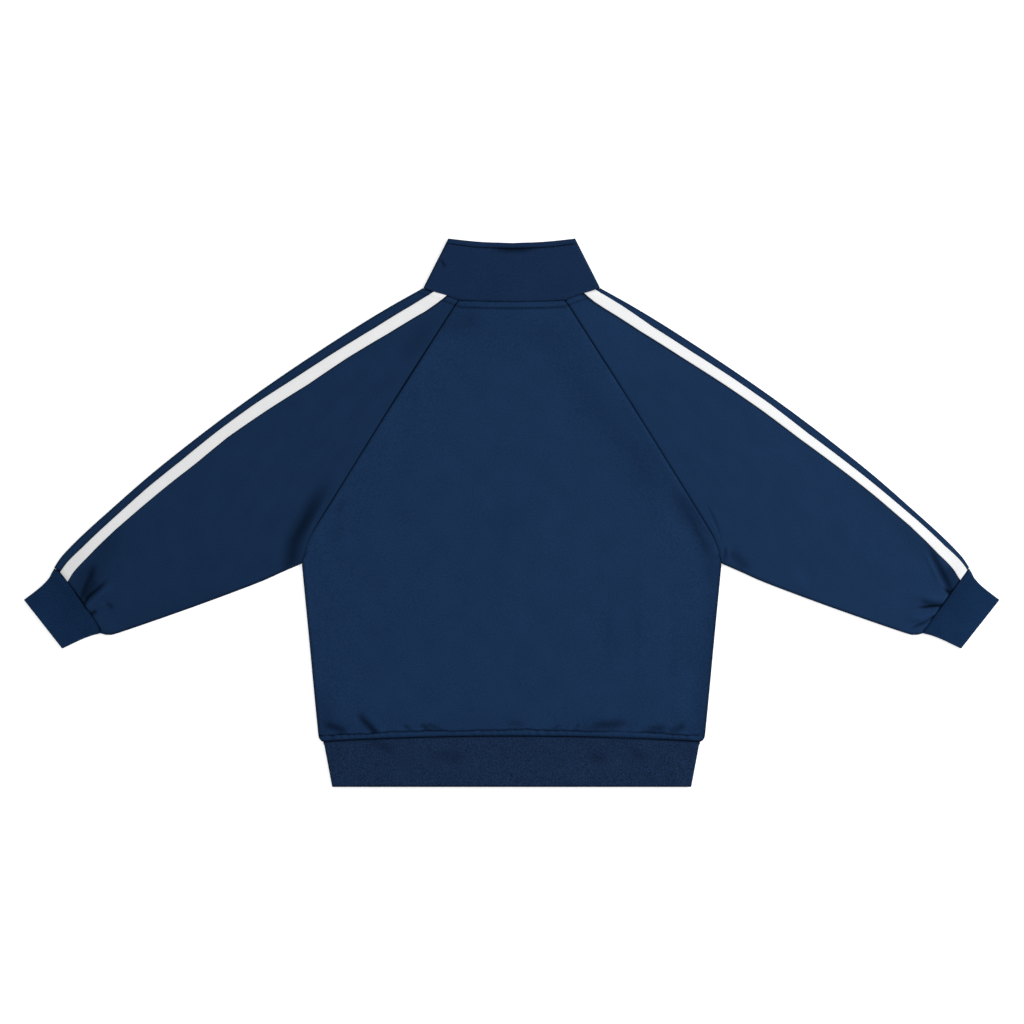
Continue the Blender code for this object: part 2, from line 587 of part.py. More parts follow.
def back_rows():
    """The back, from the neck seam to the hem seam."""
    gap = SEAM_GAP / 2
    raglan = RAGLAN_SEAM.moved(-gap)
    neck = Line(NECK_CENTRE).moved(gap)
    half = body_rows(raglan, neck, RAGLAN_STATIONS, SIDE_STATIONS, BODY_COLUMNS, 0.0)
    rows = []
    for index, line in enumerate(half):
        on_raglan = index < len(RAGLAN_STATIONS)
        edge = line[-1][0].x
        row = []
        for side in (-1, 1):
            points = []
            for spot, drop in line[1:] if side < 0 else line:
                from_side = edge - spot.x if on_raglan else line[-TURN_STEPS - 1][0].x - spot.x
                height = back_height(spot.x * side, spot.y, max(0.0, from_side), on_raglan)
                points.append(Vector((spot.x * side, spot.y, height - drop)))
            row += reversed(points) if side < 0 else points
        rows.append(row)
    return rows


def front_rows(side):
    """A front, from the neck seam to the hem seam and from the zip to the side seam."""
    gap = SEAM_GAP / 2
    raglan = Line(RAGLAN_FRONT).moved(-gap)
    neck = Line(NECK_FRONT).moved(gap)
    half = body_rows(raglan, neck, FRONT_STATIONS, FRONT_SIDE_STATIONS, FRONT_COLUMNS, ZIP_OPEN)
    rows = []
    for line in half:
        points = [(spot, CLOTH / 2 + zip_lift(spot.x, spot.y) + drop) for spot, drop in line]
        rows.append(world(side, points))
    return rows


def band_rows(edge, upper, lower, shares, height_over, height_below):
    """A band folded at both sides and open at the zip, such as the collar: a row for each height share.

    upper and lower each hold the band's seam and its free rim, as lines from the side to the middle, and
    the shares of those lines at which its columns stand.
    """
    rows = []
    for share in shares:
        inner = edge.place(share)[0]
        row = {}
        for side in (-1, 1):
            over, below = [], []
            for layer, band, height in ((over, upper, height_over), (below, lower, height_below)):
                seam, rim, columns = band
                for column in columns:
                    ends = []
                    for at, line in ((0.0, seam), (1.0, rim)):
                        low = (edge.place(at)[0] - line.at(0.0)).length / line.length
                        ends.append(line.at(across(low, 1.0, column)))
                    spot = ends[0].lerp(ends[1], share) if column else inner
                    layer.append((spot, height(spot.x * side, spot.y, share)))
            around = edge.turn(share)[1:] + edge.turn_below(share)[1:]
            row[side] = world(side, list(reversed(over)) + around + below[1:])
        rows.append(list(reversed(row[-1][1:])) + row[1])
    return rows


def columns_through_corner(seam):
    """Columns of a band with one on the corner where its seam passes from a sleeve to a body panel."""
    corner = seam.corner_share(0)
    beside = [corner * column for column in SIDE_COLUMNS]
    return beside + [across(corner, 1.0, column) for column in MIDDLE_COLUMNS]


def collar_rows():
    """The stand-up collar, two plies thick, from the neck seam to its top edge."""
    gap = SEAM_GAP / 2
    edge = TurnedEdge(Line([NECK_SIDE, COLLAR_CORNER]), 1, COLLAR, COLLAR_TURN,
                      (NECK_SEAM.heading(0.0), -TO_COLLAR),
                      (Line(COLLAR_TOP).heading(0.0), Vector((0.0, 0.0))))
    back_seam = Line(NECK_BACK, NECK_CENTRE).moved(-gap)
    front_seam = Line(NECK_FRONT_SLEEVE, NECK_FRONT).moved(-gap)
    upper = (back_seam, Line(COLLAR_TOP), columns_through_corner(back_seam))
    lower = (front_seam, Line(COLLAR_FRONT_TOP), columns_through_corner(front_seam))

    def over(x, y, share):
        loose = 1.0 - ease(abs(x), COLLAR_LOOSE_NEAR, COLLAR_LOOSE_FAR)
        dip = SEAM_DIP * (1.0 - ease(share, 0.0, COLLAR_DIP_SHARE))
        return COLLAR_TOP_HEIGHT + (back_lift(x, y) - dip) * loose

    def below(x, y, share):
        return COLLAR / 2 + zip_lift(x, y)

    return band_rows(edge, upper, lower, COLLAR_ROWS, over, below)


def hem_rib_rows():
    """The ribbed hem band, folded double along its lower edge."""
    gap = SEAM_GAP / 2
    side = Line([Spot(RIB_TOP_HALF, HEM_SEAM[-1].y), RIB_FOOT])
    edge = TurnedEdge(side, -1, RIB, RIB_TURN, (Vector((-1.0, 0.0)), Vector((0.0, 1.0))),
                      (Vector((-1.0, 0.0)), Vector((0.0, 0.0))))
    seam = Line(list(reversed(HEM_SEAM))).moved(gap)
    front_seam = Line([Spot(max(spot.x, ZIP_OPEN), spot.y) for spot in reversed(HEM_SEAM)]).moved(gap)
    foot = [RIB_FOOT, Spot(0.12, RIB_FOOT.y)]
    upper = (seam, Line(foot + [Spot(0.0, RIB_FOOT.y)]), RIB_COLUMNS)
    lower = (front_seam, Line(foot + [Spot(ZIP_OPEN, RIB_FOOT.y)]), RIB_COLUMNS)

    def over(x, y, share):
        loose = 1.0 - ease(abs(x), RIB_LOOSE_NEAR, RIB_LOOSE_FAR)
        dip = RIB_DIP * (1.0 - ease(share, 0.0, RIB_DIP_SHARE))
        return RIB_TOP + (folds_height(RIB_WAVES, x, y) - dip) * loose

    def below(x, y, share):
        return RIB / 2

    return band_rows(edge, upper, lower, RIB_ROWS, over, below)


def cuff_rows(side):
    """A ribbed cuff, a tube folded double at the wrist and pressed flat."""
    seam_middle = (CUFF_SEAM.at(0.0) + CUFF_SEAM.at(1.0)) / 2 + TO_CUFF * SEAM_GAP / 2
    end_top, end_under = [Vector((spot.x, spot.y)) for spot in CUFF_END]
    end_middle = (end_top + end_under) / 2
    seam_run = -CUFF_SEAM.heading(0.0)
    end_run = (end_top - end_under).normalized()
    length = (end_middle - seam_middle).length
    middle = RIB / 2 + RIB_TURN
    rows = []
    for share in CUFF_ROWS:
        centre = seam_middle.lerp(end_middle, share)
        run = seam_run.lerp(end_run, share).normalized()
        flat = {end: table_value(CUFF_WIDTHS, share * length, "along", column) - RIB / 2 - RIB_TURN
                for end, column in ((1, "top"), (-1, "under"))}
        over = []
        for column in CUFF_COLUMNS:
            spot = centre + run * flat[1 if column > 0 else -1] * column
            wave = folds_height(CUFF_WAVES[side], share, column) * ease(1.0 - abs(column), 0.0, 0.3)
            over.append((spot, RIB_TOP + wave))
        below = [(centre + run * flat[1], RIB / 2), (centre, RIB / 2), (centre - run * flat[-1], RIB / 2)]
        angles = [math.pi * step / (2 * TURN_STEPS) for step in range(1, 2 * TURN_STEPS)]
        ring = list(over)
        for end, layer in ((1, below), (-1, [])):
            for angle in angles:
                out = flat[end] + RIB_TURN * math.sin(angle)
                ring.append((centre + run * end * out, middle + end * RIB_TURN * math.cos(angle)))
            ring += layer
        rows.append(world(side, ring))
    return rows


def zip_tape_rows(side):
    """Half of the zip's tape, beside the other one and under the edge of its front."""
    rows = []
    for y in TAPE_STATIONS:
        inner = table_value(TAPE_INNER, y, "y", "inner")
        on_body = HEM_SEAM[0].y < y < NECK_FRONT[-1].y
        middle = (CLOTH if on_body else RIB) / 2 + zip_lift(TAPE_OUTER, y)
        rows.append([Vector((side * x, y, middle)) for x in (inner, TAPE_OUTER)])
    return rows


def block(name, size, place, collection, bevel=0.0):
    """A box with its edges rounded."""
    bpy.ops.mesh.primitive_cube_add(size=1.0, location=place)
    box = bpy.context.object
    box.name = box.data.name = name
    for vertex in box.data.vertices:
        vertex.co = Vector(size) * vertex.co
    for owner in list(box.users_collection):
        owner.objects.unlink(box)
    collection.objects.link(box)
    if bevel:
        rounding = box.modifiers.new("rounding", "BEVEL")
        rounding.width = bevel
        rounding.segments = 2
    if collection is cutters:
        box.hide_render = True
        box.display_type = "WIRE"
    return box


def join(body, tool, operation):
    """Adds a cutter to a body, or takes it away."""
    step = body.modifiers.new(tool.name, "BOOLEAN")
    step.operation = operation
    step.object = tool


def build_slider():
    """The slider: two plates with a post between them, and a bridge over the pull on the outer plate."""
    middle = RIB / 2 + ZIP_LIFT + SLIDER_CLEAR
    plate_out = SLIDER_SPACE / 2 + SLIDER_PLATE / 2
    size = (SLIDER_WIDTH, SLIDER_LENGTH, SLIDER_PLATE)
    body = block("zip_slider", size, (0.0, SLIDER_Y, middle + plate_out), jacket, PLATE_ROUNDING)
    outer = block("slider_outer_plate", size, (0.0, SLIDER_Y, middle - plate_out), cutters, PLATE_ROUNDING)
    post_height = SLIDER_SPACE + SLIDER_PLATE
    post = block("slider_post", (SLIDER_POST, POST_LENGTH, post_height),
                 (0.0, SLIDER_Y + POST_PLACE, middle), cutters)
    plate_face = middle - SLIDER_SPACE / 2 - SLIDER_PLATE
    bridge = block("slider_bridge", (BRIDGE_WIDTH, BRIDGE_LENGTH, plate_face + SLIDER_PLATE / 2),
                   (0.0, SLIDER_Y, (plate_face + SLIDER_PLATE / 2) / 2), cutters)
    tunnel_height = plate_face - BRIDGE_THICK
    tunnel = block("slider_tunnel", (SLIDER_WIDTH, BRIDGE_LENGTH - 2 * BRIDGE_LEG, tunnel_height),
                   (0.0, SLIDER_Y, BRIDGE_THICK + tunnel_height / 2), cutters)
    for tool in (outer, post, bridge):
        join(body, tool, "UNION")
    join(body, tunnel, "DIFFERENCE")
    finish(body, "metal", METAL_ROUGHNESS, 1.0)
    return BRIDGE_THICK + tunnel_height / 2


def build_pull(axis_height):
    """The pull tab, hung on the slider's bridge by the bar over its eye; its origin is on that axis."""
    pivot = bpy.data.objects.new("pull_axis", None)
    jacket.objects.link(pivot)
    pivot.location = (0.0, SLIDER_Y, axis_height)
    pivot.rotation_euler = (math.asin((axis_height - PULL_THICK / 2 - SLIDER_CLEAR) / PULL_LENGTH), 0.0, 0.0)
    length = PULL_LENGTH + PULL_BAR / 2
    tab = block("zip_pull", (PULL_WIDTH, length, PULL_THICK), (0.0, PULL_BAR / 2 - length / 2, 0.0),
                jacket, PULL_ROUNDING)
    eye = block("pull_eye", (PULL_EYE_WIDTH, PULL_EYE, PULL_WIDTH),
                (0.0, -PULL_BAR / 2 - PULL_EYE / 2, 0.0), cutters)
    join(tab, eye, "DIFFERENCE")
    tab.parent = pivot
    eye.parent = pivot
    finish(tab, "metal", METAL_ROUGHNESS, 1.0)


for old in list(bpy.data.objects):
    bpy.data.objects.remove(old)
jacket = bpy.data.collections.new("track_jacket")
cutters = bpy.data.collections.new("cutters")
for group in (jacket, cutters):
    bpy.context.scene.collection.children.link(group)

solidified("back", back_rows(), "navy", CLOTH)
for word, side in (("left", -1), ("right", 1)):
    sleeve = sleeve_rows(side)
    solidified("front_" + word, front_rows(side), "navy", CLOTH)
    solidified("sleeve_" + word, sleeve, "navy", CLOTH)
    solidified("stripe_" + word, stripe_rows(sleeve), "white", STRIPE)
    solidified("cuff_" + word, cuff_rows(side), "rib_navy", RIB, ring=True)
    solidified("zip_tape_" + word, zip_tape_rows(side), "navy", ZIP_TAPE)
solidified("collar", collar_rows(), "navy", COLLAR)
solidified("hem_rib", hem_rib_rows(), "rib_navy", RIB)
build_pull(build_slider())
box = block("zip_box", (ZIP_BOX_WIDTH, ZIP_BOX_LENGTH, RIB), (0.0, ZIP_BOX_Y, RIB / 2), jacket,
            PLATE_ROUNDING)
finish(box, "metal", METAL_ROUGHNESS, 1.0)
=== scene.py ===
"""A zip-up track jacket laid flat with its back up: the cloth, the sewing and the zip around its solids.

Metres, +Z up. The collar lies toward +Y, and the sleeve at -X is the wearer's left.
"""
import math
from collections import namedtuple

import bpy
import numpy as np
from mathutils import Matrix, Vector
from mathutils.bvhtree import BVHTree


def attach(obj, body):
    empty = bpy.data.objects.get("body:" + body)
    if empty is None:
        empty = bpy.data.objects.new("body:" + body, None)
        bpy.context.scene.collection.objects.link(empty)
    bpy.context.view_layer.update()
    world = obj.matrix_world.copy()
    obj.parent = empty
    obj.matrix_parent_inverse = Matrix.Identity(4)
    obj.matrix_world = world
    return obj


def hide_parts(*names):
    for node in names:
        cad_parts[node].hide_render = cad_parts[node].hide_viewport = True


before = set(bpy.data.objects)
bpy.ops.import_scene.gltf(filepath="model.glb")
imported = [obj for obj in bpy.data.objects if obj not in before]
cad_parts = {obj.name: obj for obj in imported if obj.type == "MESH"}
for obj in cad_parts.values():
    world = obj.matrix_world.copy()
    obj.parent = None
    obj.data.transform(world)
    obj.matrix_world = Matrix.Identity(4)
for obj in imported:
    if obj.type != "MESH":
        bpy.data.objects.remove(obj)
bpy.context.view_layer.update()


# The back. One panel of brushed polyester jersey, cut with slanted shoulders for the raglan sleeves. It lies
# uppermost: the neck, raglan and side edges sink into narrow overlocked seams, and its foot is eased on to
# the ribbed hem band, so it rolls and puckers along the topstitching there.
MILLIMETRES = 1000
SIDES = (("left", -1), ("right", 1))
JERSEY, JERSEY_TURN = 0.0012, 0.0017
RIB, RIB_TURN = 0.0022, 0.0016
JERSEY_TOP, RIB_TOP = JERSEY / 2 + 2 * JERSEY_TURN, RIB / 2 + 2 * RIB_TURN
LOWEST_UPPER_LAYER = 0.0021
SEAM_GAP, SEAM_REACH, SEAM_SLOT = 0.0006, 0.006, math.radians(15)
EDGE_SHADE, EDGE_LOOSE, END_BLEND = 0.7, 0.022, 0.03
TURN_STEPS = 7
RAGLAN_END = 0.988
NECK_STITCH = 0.0085

NECK_SIDE, RAGLAN_TOP, UNDERARM = (0.1216, 0.309), (0.073, 0.292), (0.2888, -0.0705)
NECK_BACK = [NECK_SIDE, (0.1075, 0.3039), (0.0886, 0.2984), RAGLAN_TOP]
NECK_CENTRE = [RAGLAN_TOP, (0.04, 0.2905), (0, 0.2897)]
RAGLAN_FOOT = [(0.27, -0.02), (0.2815, -0.043), UNDERARM]
RAGLAN_BACK = [RAGLAN_TOP, (0.0866, 0.272), (0.165, 0.149), (0.242, 0.0253)] + RAGLAN_FOOT
SIDE_SEAM = [UNDERARM, (0.2862, -0.0985), (0.2798, -0.164), (0.2736, -0.23), (0.2672, -0.296),
             (0.265, -0.315)]
HEM_MIDDLE, HEM_SIDE = (0, -0.3073), (0.265, -0.315)

# Soft folds in the back and the sleeves, in millimetres: the centre's x and y, half length, half width,
# heading in degrees, and height.
SOFT_FOLDS = [
    (-300, -20, 55, 13, 67, -1.4), (-256, 25, 70, 13, 60, 0.7), (238, -15, 65, 14, -62, -1.2),
    (195, 90, 95, 26, -58, -1), (-64, 271, 18, 12, 15, -0.9), (-130, -115, 60, 40, 35, -0.6),
    (110, -230, 90, 20, 85, -0.5), (200, -210, 80, 18, 86, 0.5), (-430, 30, 120, 30, 45, 0.7),
    (410, 10, 110, 34, -40, 0.8), (-583, -101, 19, 5.5, 68, -1.6), (-595, -108, 20, 6, 60, 1.3),
    (-570, -117, 24, 6, 38, 1.5), (-564, -133, 14, 5.5, 25, -1), (590, -80, 30, 6.5, -62, -1.5),
    (602, -87, 24, 6, -60, 1.2), (574, -118, 24, 6.5, -12, 1.5), (576, -133, 22, 5, 2, -1.2),
    (564, -148, 20, 5.5, -10, 1.2),
]
# Creases pressed into the cloth, in millimetres: half width, height, how much painted shade lies along its
# hollow (negative: a painted highlight on its ridge), whether its start and its end keep their strength (1)
# or fade out (0), and the points that it runs through. Rows of no height are broad patches of painted shade
# or light alone.
BACK_CREASES = [
    (15, -1.4, 0.3, 0, 0.5, (210.8, 47.1), (238.3, 8), (256.6, -21.7), (268, -56.1), (272.6, -83.6)),
    (25, -0.8, 0.17, 0.4, 0, (35, 250), (85, 190), (122, 140), (160, 90), (195, 25), (225, -25)),
    (18, -0.6, 0.1, 0, 0.3, (150, 105), (190, 50), (230, -5)),
    (17, -0.3, 0.2, 0.2, 0.4, (-135, 230), (-112, 262), (-75, 282)),
    (26, 0, 0.09, 1, 1, (-90, 260), (0, 250), (80, 250)),
    (13, -0.2, 0.16, 0.6, 1, (284, -75), (274, -150), (266, -230), (260, -295)),
    (20, 0, 0.16, 0, 1, (-264, -230), (-260, -290)),
    (22, -0.3, 0.1, 0, 0, (-35, -30), (0, -15), (25, -35)),
    (4.5, 1.2, 0, 0, 0.6, (230, 20), (259, -24), (279, -60)),
    (12, -0.6, 0.16, 0, 0, (-100, 258), (-80, 254), (-43, 272)),
    (6, -0.5, 0.24, 0, 0, (-224, 27), (-238, 5), (-246, -6)),
    (8, -0.6, 0.1, 0, 0, (-228, -6), (-245, -33), (-248, -50)),
    (9, -0.6, 0.06, 0, 0, (133, -85), (130, -180), (136, -262)),
    (8, 0.6, 0, 0, 0, (180, -85), (179, -170), (183, -258)),
    (9, -0.5, 0.06, 0, 0, (227, -90), (220, -170), (223, -250)),
    (6, -0.5, 0.06, 0, 0, (-152, -170), (-175, -162), (-205, -177)),
    (8, -0.5, 0.06, 0, 0, (-188, -14), (-150, -6), (-106, -15)),
    (4, 0.3, 0, 0, 0, (-92, -251), (-60, -242), (-24, -252), (-20, -274)),
    (3, -0.4, 0.1, 0, 0, (1, -199), (22, -199)),
    (3, -0.4, 0.1, 0, 0, (-72, -123), (-58, -123)),
]
HEM_PUCKERS = [
    (-240, -299, 16, 5, -20, -1.2), (-196, -296, 14, 5, -52, -1.4), (-146, -295, 15, 5, -8, -0.8),
    (-117, -296, 13, 4.5, 12, -0.8), (56, -294.5, 14, 5, 15, -0.8), (93, -294.5, 14, 4.5, 50, -0.8),
    (128, -295, 18, 7, 5, -1), (160, -295, 14, 5, -10, -0.8), (213, -296, 20, 6, 10, -0.9),
]
HEM_CREASES = [
    (6, -0.9, 0.55, 0, 1, (-262, -288), (-248, -294), (-234, -300)),
    (4.2, -1.3, 0.65, 0, 1, (-213, -272), (-204, -287), (-190, -301)),
    (4.5, 1.4, 0, 0, 1, (-202, -270), (-193, -285), (-180, -300)),
    (2.8, -0.6, 0.45, 0, 0.6, (-150, -291.5), (-144, -295.5), (-138, -299)),
    (3, -0.7, 0.55, 0, 0.6, (-127, -289.5), (-120, -295), (-113, -299)),
    (3.2, -0.6, 0.4, 0, 0.6, (-119, -290.5), (-108, -294.5), (-98, -299)),
    (4, -0.5, 0.25, 0, 0, (-13.5, -290), (22.5, -291.5)),
    (2.2, 0.7, 0, 0.6, 0, (43, -299), (59, -291)),
    (2.2, -0.6, 0.3, 0.6, 0, (54, -299), (68, -292)),
    (2.2, 0.7, 0, 0.6, 0, (76, -299), (85, -288)),
    (2.2, -0.6, 0.35, 0.6, 0, (86, -300), (94, -289)),
    (6.2, -1, 0.5, 0.5, 0, (102, -299), (120, -293.5), (140, -292), (164, -287)),
    (5, -0.9, 0.5, 0.4, 0, (182, -301), (200, -297.5), (216, -299)),
    (5, -0.9, 0.5, 0.8, 0, (220, -301), (230, -297), (239, -288)),
    (3, 0.8, 0, 0.6, 0, (210, -300), (219, -290)),
]


def ease(value, low, high):
    """0 below low, 1 above high, and smooth between."""
    share = np.clip((value - low) / (high - low), 0, 1)
    return share * share * (3 - 2 * share)


def fade(value, low, high):
    """1 below low, 0 above high, and smooth between."""
    return 1 - ease(value, low, high)


def bell(value, middle, reach):
    """1 at the middle, and fading away on both sides of it."""
    return np.exp(-((value - middle) / reach) ** 2)


def lengths_along(points):
    """How far along a line each of its points lies."""
    return np.concatenate([[0], np.cumsum(np.linalg.norm(np.diff(points, axis=0), axis=1))])


def stations(count, *crowded):
    """Shares from 0 to 1, closer together round each (place, reach, times)."""
    fine = np.linspace(0, 1, 4001)
    crowd = np.ones_like(fine) + sum(times * bell(fine, place, reach) for place, reach, times in crowded)
    run = np.concatenate([[0], np.cumsum((crowd[1:] + crowd[:-1]) / 2)])
    return np.interp(np.linspace(0, run[-1], count), run, fine)


def unit(vectors):
    return vectors / np.linalg.norm(vectors, axis=-1, keepdims=True)


def left_of(direction):
    return np.stack([-direction[..., 1], direction[..., 0]], axis=-1)


def raised(plan, height):
    """Places in plan with their heights."""
    height = np.broadcast_to(np.asarray(height)[..., None], plan.shape[:-1] + (1,))
    return np.concatenate([plan, height], axis=-1)


class SewnLine:
    """A line in plan, smooth through each of its legs of points."""

    def __init__(self, *legs, points=None):
        self.corners = []
        if points is None:
            runs, t = [], np.linspace(0, 1, 12, endpoint=False)[:, None]
            for leg in legs:
                spots = np.array(leg, float)
                line = np.vstack([2 * spots[0] - spots[1], spots, 2 * spots[-1] - spots[-2]])
                for before, start, end, after in zip(line, line[1:], line[2:], line[3:]):
                    bend, twist = 2 * before - 5 * start + 4 * end - after, 3 * (start - end) + after - before
                    runs.append(start + ((end - before) * t + bend * t ** 2 + twist * t ** 3) / 2)
                self.corners.append(sum(map(len, runs)))
            points = np.vstack(runs + [spots[-1:]])
        self.points = points
        self.lengths = lengths_along(points)
        self.length = self.lengths[-1]

    def corner_share(self, leg):
        return self.lengths[self.corners[leg]] / self.length

    def at(self, share):
        along = np.asarray(share, float) * self.length
        return np.stack([np.interp(along, self.lengths, axis) for axis in self.points.T], axis=-1)

    def heading(self, share):
        reach = 0.002 / self.length
        return unit(self.at(np.minimum(1, share + reach)) - self.at(np.maximum(0, share - reach)))

    def moved(self, distance):
        """The same line moved to its left, mitred at its corners."""
        steps = np.diff(self.points, axis=0)
        into, out = unit(np.vstack([steps[:1], steps])), unit(np.vstack([steps, steps[-1:]]))
        left = left_of(unit(into + out))
        mitre = np.maximum(0.5, (left * left_of(out)).sum(axis=1, keepdims=True))
        line = SewnLine(points=self.points + left * distance / mitre)
        line.corners = self.corners
        return line


class TurnedEdge:
    """An edge where the cloth turns over to the layer below; the cloth lies on the line's left if side is 1.

    Each end says how the next seam runs into the cloth, and the way across that seam.
    """

    def __init__(self, line, side, wall, radius, *ends):
        self.line, self.side, self.wall, self.radius, self.ends = line, side, wall, radius, ends
        self.middle = wall / 2 + radius

    def place(self, share):
        """Where the flat part ends, and the outermost place of the wall's middle."""
        share = np.atleast_1d(np.asarray(share, float))
        square = left_of(self.line.heading(share)) * self.side
        near = [fade(run * self.line.length, 0, END_BLEND)[:, None] for run in (share, 1 - share)]
        inward = square * (1 - near[0] - near[1])
        for weight, (along, _) in zip(near, self.ends):
            inward = inward + along * weight
        inward = inward / (inward * square).sum(axis=1, keepdims=True)
        edge = self.line.at(share)
        inner, brink = edge + inward * (self.radius + self.wall / 2), edge + inward * (self.wall / 2)
        for at, (_, across) in enumerate(self.ends):
            last = share == at
            lean = np.maximum(0, -(square[last] @ across))[:, None] * self.wall / 2
            inner[last] -= across * SEAM_GAP / 2
            brink[last] -= across * (SEAM_GAP / 2 + lean)
        return inner, brink

    def turn(self, share, slot=0):
        """The upper half of the turn, down to its middle or to just above a seam there."""
        inner, brink = self.place(share)
        angles = np.linspace(math.pi / 2, slot, TURN_STEPS + 1)
        plan = inner[:, None] + (brink - inner)[:, None] * np.cos(angles)[:, None]
        return raised(plan, self.middle + self.radius * np.sin(angles))

    def turn_below(self, share, slot=0):
        """The lower half of the turn."""
        turn = self.turn(share, slot)[:, ::-1]
        turn[..., 2] = 2 * self.middle - turn[..., 2]
        return turn


def folded(folds, x, y):
    """The height that soft folds add."""
    height = np.zeros_like(x)
    for *sizes, heading, rise in folds:
        middle_x, middle_y, length, width = np.array(sizes) / MILLIMETRES
        cosine, sine = math.cos(math.radians(heading)), math.sin(math.radians(heading))
        dx, dy = x - middle_x, y - middle_y
        along, aside = dx * cosine + dy * sine, dy * cosine - dx * sine
        height += rise / MILLIMETRES * np.exp(-((along / length) ** 2) - (aside / width) ** 2)
    return height


def creased(creases, x, y):
    """The height that creases add, and the painted shade, or painted light where negative, that they lay on
    each place.
    """
    height, shade = np.zeros_like(x), np.zeros_like(x)
    for width, rise, dark, start_strength, end_strength, *points in creases:
        path = SewnLine(np.array(points) / MILLIMETRES).at(np.linspace(0, 1, 25))
        width, rise = width / MILLIMETRES, rise / MILLIMETRES
        low, high = path.min(axis=0) - 3 * width, path.max(axis=0) + 3 * width
        near = (x > low[0]) & (x < high[0]) & (y > low[1]) & (y < high[1])
        if not near.any():
            continue
        spots = np.stack([x[near], y[near]], axis=-1)
        nearest, share = np.full(len(spots), np.inf), np.zeros(len(spots))
        for index, (start, end) in enumerate(zip(path, path[1:])):
            run = end - start
            part = np.clip(((spots - start) @ run) / (run @ run), 0, 1)
            distance = np.linalg.norm(spots - start - part[:, None] * run, axis=1)
            closer = distance < nearest
            nearest[closer] = distance[closer]
            share[closer] = (index + part[closer]) / (len(path) - 1)
        strength = np.exp(-(nearest / width) ** 2)
        for kept, gone in ((start_strength, share), (end_strength, 1 - share)):
            strength *= kept + (1 - kept) * ease(gone, 0, 0.4)
        height[near] += rise * strength
        shade[near] += dark * strength
    return height, shade


def uneven(x, y, size, reach):
    """The slight unevenness of cloth that is smoothed out by hand."""
    total = np.zeros_like(x)
    for wave in range(9):
        heading = 2.4 * wave + 0.7
        pace = 2 * math.pi / (reach * (0.6 + 0.17 * wave))
        total += np.sin((x * math.cos(heading) + y * math.sin(heading)) * pace + 1.9 * wave)
    return size * total / 3


def hem_y(x):
    """The hem seam sags toward the sides."""
    return HEM_MIDDLE[1] + (HEM_SIDE[1] - HEM_MIDDLE[1]) * (x / HEM_SIDE[0]) ** 2


def round_hem_corners(plan):
    """The lower corners of the body curve in to the shorter hem band."""
    from_hem = plan[..., 1] - hem_y(plan[..., 0])
    part = np.clip(1 - from_hem / 0.008, 0, 1)
    plan[..., 0] *= 1 - 0.0068 * (1 - np.sqrt(1 - 0.96 * part ** 2)) / HEM_SIDE[0]


def from_neck(x, y):
    """How far a place lies below the neck seam."""
    seam = NECK_CENTRE[:0:-1] + NECK_BACK[::-1]
    seam_y = np.interp(np.abs(x), [spot[0] for spot in seam], [spot[1] for spot in seam])
    beyond = np.maximum(0, np.abs(x) - NECK_SIDE[0])
    return np.hypot(np.maximum(0, seam_y - y) * 0.96, beyond)


def neck_rise(x, y):
    """The upper layer climbs to the thick collar at the neck seam."""
    return 0.0014 * (fade(from_neck(x, y), 0, 0.03))


def back_lift(x, y):
    """How far the zip's slider raises the cloth that lies over it."""
    near = fade(np.abs(x), 0.01, 0.08)
    return 0.0024 * near * ease(y, 0.195, 0.284) * (fade(y, 0.326, 0.37))


def hem_stitch(x):
    """How far above the hem seam its topstitching runs."""
    return 0.0082 + 0.0006 * np.sin(x * 41 + 1) + 0.0004 * np.sin(x * 103) + 0.0003 * np.sin(x * 271 + 2)


def raglan_shade(side, y, distance):
    """The narrow shade in a raglan seam: wider halfway up on the left, and fainter near the underarm."""
    reach = np.where(side < 0, 0.0017 + 0.0012 * bell(y, 0.19, 0.05), 0.0014)
    faint = np.where(side < 0, ease(y, -0.035, -0.008), ease(y, -0.045, -0.022))
    return (0.2 + 0.75 * faint) * seam_line(distance, reach)


def seam_dip(distance):
    """The cloth bends down into a seam, and its last two millimetres roll under."""
    return 0.0006 * (fade(distance, 0, SEAM_REACH) + fade(distance, 0, 0.0024))


def seam_line(distance, reach):
    """The thin shade in a seam."""
    return fade(distance, 0.0002, reach)


def stitched_groove(distance, depth=0.00045, half=0.0011):
    """The groove that a row of topstitching pulls into the cloth."""
    return depth * bell(distance, 0, half)


def placed(name, data):
    """A new object in the scene."""
    thing = bpy.data.objects.new(name, data)
    bpy.context.scene.collection.objects.link(thing)
    return thing


def made(name, points, faces, finish):
    """A new piece of the jacket from points and faces."""
    mesh = bpy.data.meshes.new(name)
    mesh.from_pydata(points.reshape(-1, 3).tolist(), [], faces)
    mesh.shade_smooth()
    mesh.materials.append(finish)
    piece = placed(name, mesh)
    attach(piece, "jacket")
    return piece


def outward(rows):
    """Which way the cloth faces at each of its points, always upward."""
    normal = unit(np.cross(np.gradient(rows, axis=0), np.gradient(rows, axis=1)))
    return normal * np.sign(normal[..., 2:])


